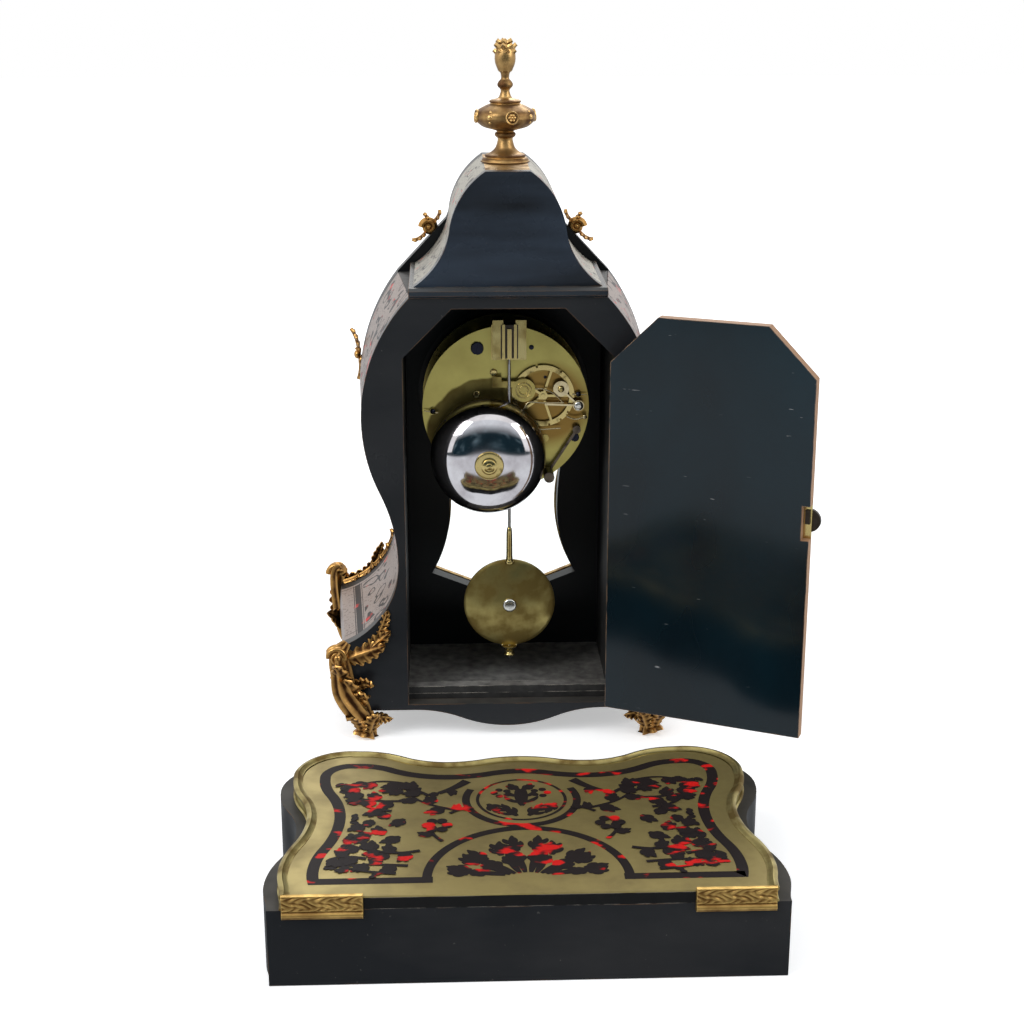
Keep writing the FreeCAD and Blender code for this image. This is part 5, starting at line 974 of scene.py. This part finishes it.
# Each letter's width and strokes, as shares of its height: from, to and thickness.
LETTERS = {"I": (0.26, [((0, -0.5), (0, 0.5), BOLD)]),
           "V": (0.62, [((-0.5, 0.5), (0, -0.5), BOLD), ((0, -0.5), (0.5, 0.5), FINE)]),
           "X": (0.62, [((-0.5, 0.5), (0.5, -0.5), BOLD), ((-0.5, -0.5), (0.5, 0.5), FINE)])}
ink, tree = empty_material("blue_enamel")
shader(tree, Base_Color=plain(0.01, 0.012, 0.06), Roughness=0.2)


def strokes(word, high):
    """A Roman numeral as bars in the plane of X and Y, about its own middle."""
    pen, parts = 0.0, []
    for letter in word:
        width, lines = LETTERS[letter]
        inner = width - BOLD * 1.1
        for (x0, y0), (x1, y1), thick in lines:
            corners = [(pen + width / 2 + x * inner + side * thick / 2, y, 0) for x, y, side in
                       ((x0, y0, -1), (x0, y0, 1), (x1, y1, 1), (x1, y1, -1))]
            parts.append((np.array(corners) * high, [(0, 1, 2, 3)]))
        pen += width
    return moved(merged(parts), (-pen * high / 2, 0, 0))


parts = []
for hour, word in enumerate(NUMERALS):
    points, faces = strokes(word, NUMERAL_HIGH if len(word) < 4 else NUMERAL_HIGH * 0.8)
    # Seen from the front, the row's X runs to the left, so the numeral is turned to read there.
    drawn = np.stack([-points[:, 0], 0 * points[:, 0], points[:, 1] + TABLET_RING], -1)
    angle = -math.radians(30 * hour)
    spin = np.array([[math.cos(angle), 0, math.sin(angle)], [0, 1, 0], [-math.sin(angle), 0, math.cos(angle)]])
    parts.append((drawn @ spin.T + (0, TABLET_FACE + 0.06, DIAL_HIGH), faces))
piece("numerals", merged(parts), ink, smooth=False)

# Rings of beads and a leafy centre on the dial, cast with it.
parts = []
for radius, size, count in ((58.5, 1.1, 120), (35.5, 0.9, 84)):
    for number in range(count):
        x, z = circle(math.tau * number / count, radius)
        parts.append(ball((x, 49.2, DIAL_HIGH + z), size, sides=6))
for number in range(12):
    x, z = circle(math.tau * (number + 0.5) / 12)
    outward = np.array([x, 0, z])
    start = outward * 11 + (0, 49.3, DIAL_HIGH)
    parts.append(leaf_at(start, outward, (0, 1, 0), 15, 9, 0.5, 1.2, 3, 14, 7, 0.8))
piece("dial_relief", merged(parts), gilt_cast)

# ------------------------------------------------------------------ plinth
# An ebonised block with a shaped top: a sheet of brass and tortoiseshell marquetry inside a
# reeded brass rim that stands a little proud, and two cast corner strips on the near edge.

PLINTH_NEAR, PLINTH_TOP, PLINTH_DEEP = -355.6, 50.5, 167.0
TOP_HALF, TOP_SWELL, TOP_WAIST = 125.4, 128.0, 117.0
LOBE_X, TROUGH_X, TROUGH, HUMP = 93.0, 40.0, 16.5, 10.0
RIM_WIDE, RIM_RISE = 4.5, 1.5


def ess(start, end, count=22):
    """Two equal arcs from start to end that leave and arrive along the second coordinate."""
    start, end = np.asarray(start, float), np.asarray(end, float)
    second = np.linspace(start[1], end[1], count)
    half = (end - start) / 2
    radius = (half @ half) / (2 * half[0])
    lift = np.sqrt(np.maximum(radius ** 2 - np.minimum(np.abs(second - start[1]),
                                                       np.abs(end[1] - second)) ** 2, 0))
    early = np.abs(second - start[1]) <= abs(half[1])
    first = np.where(early, start[0] + radius - np.sign(radius) * lift, end[0] - radius + np.sign(radius) * lift)
    return np.column_stack([first, second])


def arc_through(start, middle, end, count=24):
    """Points of the circle through three points, from the first to the last."""
    start, middle, end = (np.asarray(p, float) for p in (start, middle, end))
    rows = np.array([middle - start, end - start]) * 2
    centre = np.linalg.solve(rows, np.array([middle @ middle - start @ start, end @ end - start @ start]))
    angles = np.unwrap([math.atan2(*(p - centre)[::-1]) for p in (start, middle, end)])
    return centre + circle(np.linspace(angles[0], angles[2], count), np.linalg.norm(start - centre))


def plinth_plan(margin):
    """The plinth's closed plan less a margin, counted back from its near edge."""
    half, swell, waist = TOP_HALF - margin, TOP_SWELL - margin, TOP_WAIST - margin
    deep = PLINTH_DEEP - margin
    right = np.concatenate([
        [(half, 0.0)], ess((half, 0), (swell, PLINTH_DEEP * 0.15)),
        ess((swell, PLINTH_DEEP * 0.15), (waist, PLINTH_DEEP * 0.5)),
        ess((waist, PLINTH_DEEP * 0.5), (swell, PLINTH_DEEP * 0.8)),
        arc_through((swell, PLINTH_DEEP * 0.8), (swell - (swell - LOBE_X) * 0.22, deep * 0.945), (LOBE_X, deep)),
        ess((deep, LOBE_X), (deep - TROUGH, TROUGH_X))[:, ::-1],
        ess((deep - TROUGH, TROUGH_X), (deep - HUMP, 0.0))[:, ::-1]])
    right = right[np.append(True, np.linalg.norm(np.diff(right, axis=0), axis=1) > 1e-6)]
    return np.concatenate([right, (right * (-1, 1))[::-1][1:]])


def leftward(line):
    """The direction square to the left of a line at each of its points."""
    ahead = unit(np.gradient(line, axis=0))
    return np.column_stack([-ahead[:, 1], ahead[:, 0]])


def shrunk(outline, distance):
    """A closed outline that runs the other way round moved inwards, corners mitred."""
    along = unit(np.roll(outline, -1, 0) - outline)
    normal = np.column_stack([-along[:, 1], along[:, 0]])
    before = np.roll(normal, 1, 0)
    return outline + distance * (normal + before) / (1 + (normal * before).sum(1))[:, None]


def flat_band(outer, inner, closed):
    """A flat strip between two lines of equal count, at the inlay's height."""
    points = np.concatenate([outer, inner])
    return np.column_stack([points, np.full(len(points), INLAY_LIFT)]), net(2, len(outer), round_columns=closed)


def on_plinth(form):
    """Plan coordinates and height to the clock's frame, in millimetres."""
    return moved(form, (0, PLINTH_NEAR, PLINTH_TOP))


rim_brass = brass("rim_brass", plain(0.42, 0.35, 0.14), plain(0.16, 0.11, 0.035), 0.33, 0.6, 70.0)
whole = plinth_plan(0.0)
section = [(0.0, -7.5), (-0.9, -7.5), (-1.1, -6.6), (-0.2, -6.0), (0.0, -1.4), (-0.8, -0.9),
           (-0.9, 0.6), (0.0, 1.5), (1.6, 1.7), (2.6, 0.7), (4.5, 0.3), (4.5, -7.5)]
reach = np.append(0, np.cumsum(np.linalg.norm(np.diff(whole, axis=0), axis=1)))
path = np.column_stack([np.interp(np.linspace(0, 1, 1800) * reach[-1], reach, whole[:, k]) for k in (0, 1)])
count = len(path)
reeds = 0.35 * np.abs(np.sin(np.arange(count) * math.pi / 3))[:, None]
rings = np.array([np.column_stack([path + leftward(path) * (inward + (reeds if number in (3, 4) else 0)),
                                   np.full(count, rise)]) for number, (inward, rise) in enumerate(section)])
ends = [tuple(range(0, len(section) * count, count)), tuple(range(count - 1, len(section) * count, count))[::-1]]
piece("plinth_rim_reeded", on_plinth((rings.reshape(-1, 3), net(len(section), count, round_rows=True) + ends)),
      rim_brass, "plinth", ("plinth_rim",))

brass_ground, tree = empty_material("marquetry_brass")
wear = mottle(tree, 45.0, 0.4, 0.75, detail=6.0)
shader(tree, Base_Color=tint(tree, wear, plain(0.34, 0.27, 0.10), plain(0.20, 0.155, 0.06)), Metallic=0.72,
       Roughness=clamped(tree, wear, 0, 1, 0.38, 0.52),
       Normal=bump(tree, noise(tree, here(tree, (600, 60, 60)), 1.0, 2.0), 0.00002, 0.4))
dress(brass_ground, "plinth_inlay_plate")
shell_look, tree = empty_material("tortoiseshell")
shader(tree, Base_Color=shell(tree, here(tree, (0.6, 1, 1)), 112.0), Roughness=0.5, Specular_IOR_Level=0.12)

INLAY_LIFT = 0.06
BAND_FROM, BAND_WIDE = 9.5, 6.2
ARCH_HALF, ARCH_FOOT, ARCH_TOP = 52.0, 12.0, 70.0
MEDALLION = (0.0, 104.0)


def ribbon(line, width):
    """A flat strip along a line, as wide at each point as width says."""
    line = np.asarray(line, float)
    side = leftward(line) * (np.broadcast_to(width, len(line)) / 2)[:, None]
    return flat_band(line + side, line - side, False)


def bent(at, angle, long, bend, count, power=1.0):
    """A line of a given length whose direction turns by bend along it, and its directions."""
    share = np.linspace(0, 1, count)
    way = angle + bend * share ** power
    steps = circle(way, long / (count - 1))
    return np.asarray(at, float) + np.cumsum(steps, 0) - steps[0], way, share


def blade(at, angle, long, wide, lean):
    """A leaf with a round end that swells and bends to one side."""
    line, _, share = bent(at, angle, long, lean, 14)
    return [ribbon(line, wide * np.sin(np.pi * np.clip(0.06 + 0.94 * share, 0, 0.985) ** 0.9) ** 0.6)]


def frond(at, angle, long, wide):
    """A lobed leaf: a broad middle and two pairs of round lobes."""
    found = blade(at, angle, long, wide, 0.3)
    for share, spread, size in ((0.18, 1.15, 0.50), (0.50, 0.95, 0.42)):
        for side in (-1, 1):
            found += blade(at + circle(angle, long * share), angle + side * spread, long * size, wide * 0.72,
                           -side * 1.0)
    return found


def scroll(at, angle, long, curl, width, leaves, leaf):
    """A stem whose bend grows towards its end, with lobed leaves on both sides and at its tip."""
    line, way, share = bent(at, angle, long, curl, 40, 1.6)
    found = [ribbon(line, width * (1 - 0.45 * share))]
    for number in range(leaves):
        spot_on = int(39 * (number + 0.8) / (leaves + 0.3))
        side = 1 if number % 2 else -1
        found += frond(line[spot_on], way[spot_on] + side * 1.0, leaf * (1 - 0.08 * number), leaf * 0.42)
    return found + frond(line[-1], way[-1], leaf * 0.8, leaf * 0.42)


def daisy(at, radius, petals=6):
    """Round petals about a small ring."""
    found = []
    for number in range(petals):
        centre = at + circle(math.tau * number / petals, radius * 0.62)
        rim = centre + circle(np.linspace(0, math.tau, 16, endpoint=False), radius * 0.34)
        found.append((np.column_stack([rim, np.full(16, INLAY_LIFT)]), [tuple(range(16))]))
    return found


plan = plinth_plan(RIM_WIDE)
outer, inner = shrunk(plan, BAND_FROM), shrunk(plan, BAND_FROM + BAND_WIDE)
for line, low in ((outer, ARCH_FOOT), (inner, ARCH_FOOT + BAND_WIDE)):
    line[:, 1] = np.maximum(line[:, 1], low)
band = flat_band(outer, inner, True)
parts = [(band[0], [face for face in band[1] if face != band[1][len(plan) - 1]])]
near = [(x, ARCH_FOOT + BAND_WIDE / 2) for x in (outer[0, 0], ARCH_HALF - 3)]
arch = arc_through((ARCH_HALF, ARCH_FOOT), (ARCH_HALF * 0.74, ARCH_TOP * 0.74), (0, ARCH_TOP), 40)
ring = np.linspace(-math.pi / 2, math.pi / 2, 40)
half_parts = [ribbon(near, BAND_WIDE), ribbon(arch, 5.0), ribbon(circle(ring[:26], 31) + MEDALLION, 4.4),
              ribbon(circle(ring, 24.5) + MEDALLION, 1.8)]
# Inside the medallion: a flower, crossed sprigs and small leaves.
half_parts += daisy((11, MEDALLION[1] + 8), 6.4, 5)
for at, angle, long in (((3, MEDALLION[1] - 20), 0.9, 17), ((19, MEDALLION[1] - 5), -2.2, 14),
                        ((0, MEDALLION[1] - 8), 1.35, 24), ((2, MEDALLION[1] + 12), 0.9, 9)):
    half_parts += frond(at, angle, long, 4.6)
# Palmette under the arch: leaves that fan from its foot, each with side lobes.
for number, (angle, long) in enumerate(((1.45, 42), (1.12, 38), (0.84, 37), (0.58, 35), (0.34, 33), (0.12, 30))):
    start = (1.5 + number * 2.6, ARCH_FOOT + 9 - number * 0.6)
    half_parts += blade(start, angle, long * 0.8, 4.6, 0.5 if number % 2 else -0.4)
    for share, size in ((0.26, 0.30), (0.55, 0.42)):
        half_parts += frond(start + circle(angle, share * long), angle + (0.25 if number % 2 else -0.2),
                            long * size, 5.6)
# Strapwork volutes beside the medallion, and foliage over the field.
half_parts += scroll((13, 138), -0.05, 84, 5.4, 7.0, 1, 8)
half_parts += scroll((30, 128), -0.9, 22, 0.4, 6.0, 1, 9)
for at, angle, long, curl, leaves, leaf in (
        ((36, 92), 0.35, 40, 1.0, 4, 12), ((84, 122), 0.1, 20, 0.8, 2, 14), ((62, 124), 0.5, 26, -0.9, 3, 12),
        ((66, 104), 0.0, 34, 0.7, 4, 12), ((96, 92), -1.2, 34, -0.8, 3, 12), ((58, 82), 0.1, 38, -0.5, 4, 11),
        ((60, 60), 0.35, 40, -1.0, 4, 12), ((66, 44), 0.1, 36, 0.9, 4, 12), ((62, 30), 0.15, 36, -0.3, 4, 11),
        ((94, 44), -1.1, 18, 0.5, 2, 11), ((44, 56), 0.9, 14, 0.6, 1, 9), ((40, 88), 2.4, 8, 0.4, 1, 8),
        ((52, 110), 0.9, 22, -1.2, 3, 11), ((84, 110), 0.7, 22, -1.4, 3, 11), ((72, 92), 0.2, 26, 1.2, 3, 11),
        ((84, 76), 0.2, 20, 1.2, 3, 11), ((78, 64), 0.6, 20, -1.2, 3, 11), ((56, 46), -0.3, 26, 1.0, 3, 11),
        ((84, 38), 0.4, 20, -1.0, 3, 11), ((68, 22), 0.1, 30, 0.5, 3, 9), ((94, 130), -0.4, 16, 0.8, 2, 11)):
    half_parts += scroll(at, angle, long, curl, 2.6, leaves, leaf * 1.08)
half_parts += daisy((47, 74), 8.8)
# What would cross the band is left out, and each piece lies a thousandth above the last.
side = inner[(inner[:, 0] > 0) & (inner[:, 1] < 135)]
side = side[np.argsort(side[:, 1])]
kept = half_parts[:2] + [part for part in half_parts[2:]
                         if (part[0][:, 0] < np.interp(part[0][:, 1], side[:, 1], side[:, 0]) - 1.5).all()
                         and part[0][:, 1].max() < 148 - 0.09 * abs(part[0][:, 0]).min()
                         and part[0][:, 1].min() > ARCH_FOOT + 5]
points, faces = merged([moved(form, (0, 0, 0.001 * number)) for number, form in enumerate(kept)])
points[:, 0] = np.maximum(points[:, 0], -0.2)
parts += [(points, faces), (points * (-1, 1, 1) + (0, 0, 0.0005), [face[::-1] for face in faces])]
piece("plinth_marquetry", on_plinth(merged(parts)), shell_look, "plinth", smooth=False)

# Cast corner strips: a plain lower moulding and a field of scrolls in relief.
STRIP_LONG, STRIP_HIGH, STRIP_THICK = 41.5, 13.0, 2.5
STRIP_COLUMNS, STRIP_ROWS = 150, 50
strip_gilt = gilt("strip_gilt", plain(0.62, 0.41, 0.13), plain(0.16, 0.08, 0.022), 0.34)
across, up = np.meshgrid(np.linspace(0, STRIP_LONG, STRIP_COLUMNS), np.linspace(0, STRIP_HIGH, STRIP_ROWS))
relief = 0.55 * np.sin(across * 0.95 + 2.2 * np.sin(up * 0.8)) * np.cos(up * 1.05 + 1.4 * np.sin(across * 0.45))
relief = relief * np.clip((up - 4.2) / 0.8, 0, 1) * np.clip((12.4 - up) / 0.6, 0, 1)
moulding = 1.1 * np.exp(-((up - 1.9) / 1.3) ** 2) - 0.5 * np.exp(-((up - 3.7) / 0.4) ** 2)
edge_off = np.minimum(np.minimum(across, STRIP_LONG - across), STRIP_HIGH - up)
depth = np.where(edge_off < 1e-6, 0, STRIP_THICK - 0.6 + relief + moulding)
faces = net(STRIP_ROWS, STRIP_COLUMNS)
faces.append((0, STRIP_COLUMNS - 1, STRIP_ROWS * STRIP_COLUMNS - 1, (STRIP_ROWS - 1) * STRIP_COLUMNS))
for hand, start in (("left", -TOP_HALF), ("right", TOP_HALF - STRIP_LONG)):
    points = np.stack([start + across, PLINTH_NEAR - depth, PLINTH_TOP + RIM_RISE - STRIP_HIGH + up], -1)
    piece("corner_strip_" + hand, (points.reshape(-1, 3), faces), strip_gilt, "plinth",
          ("plinth_corner_strips",) if hand == "left" else ())
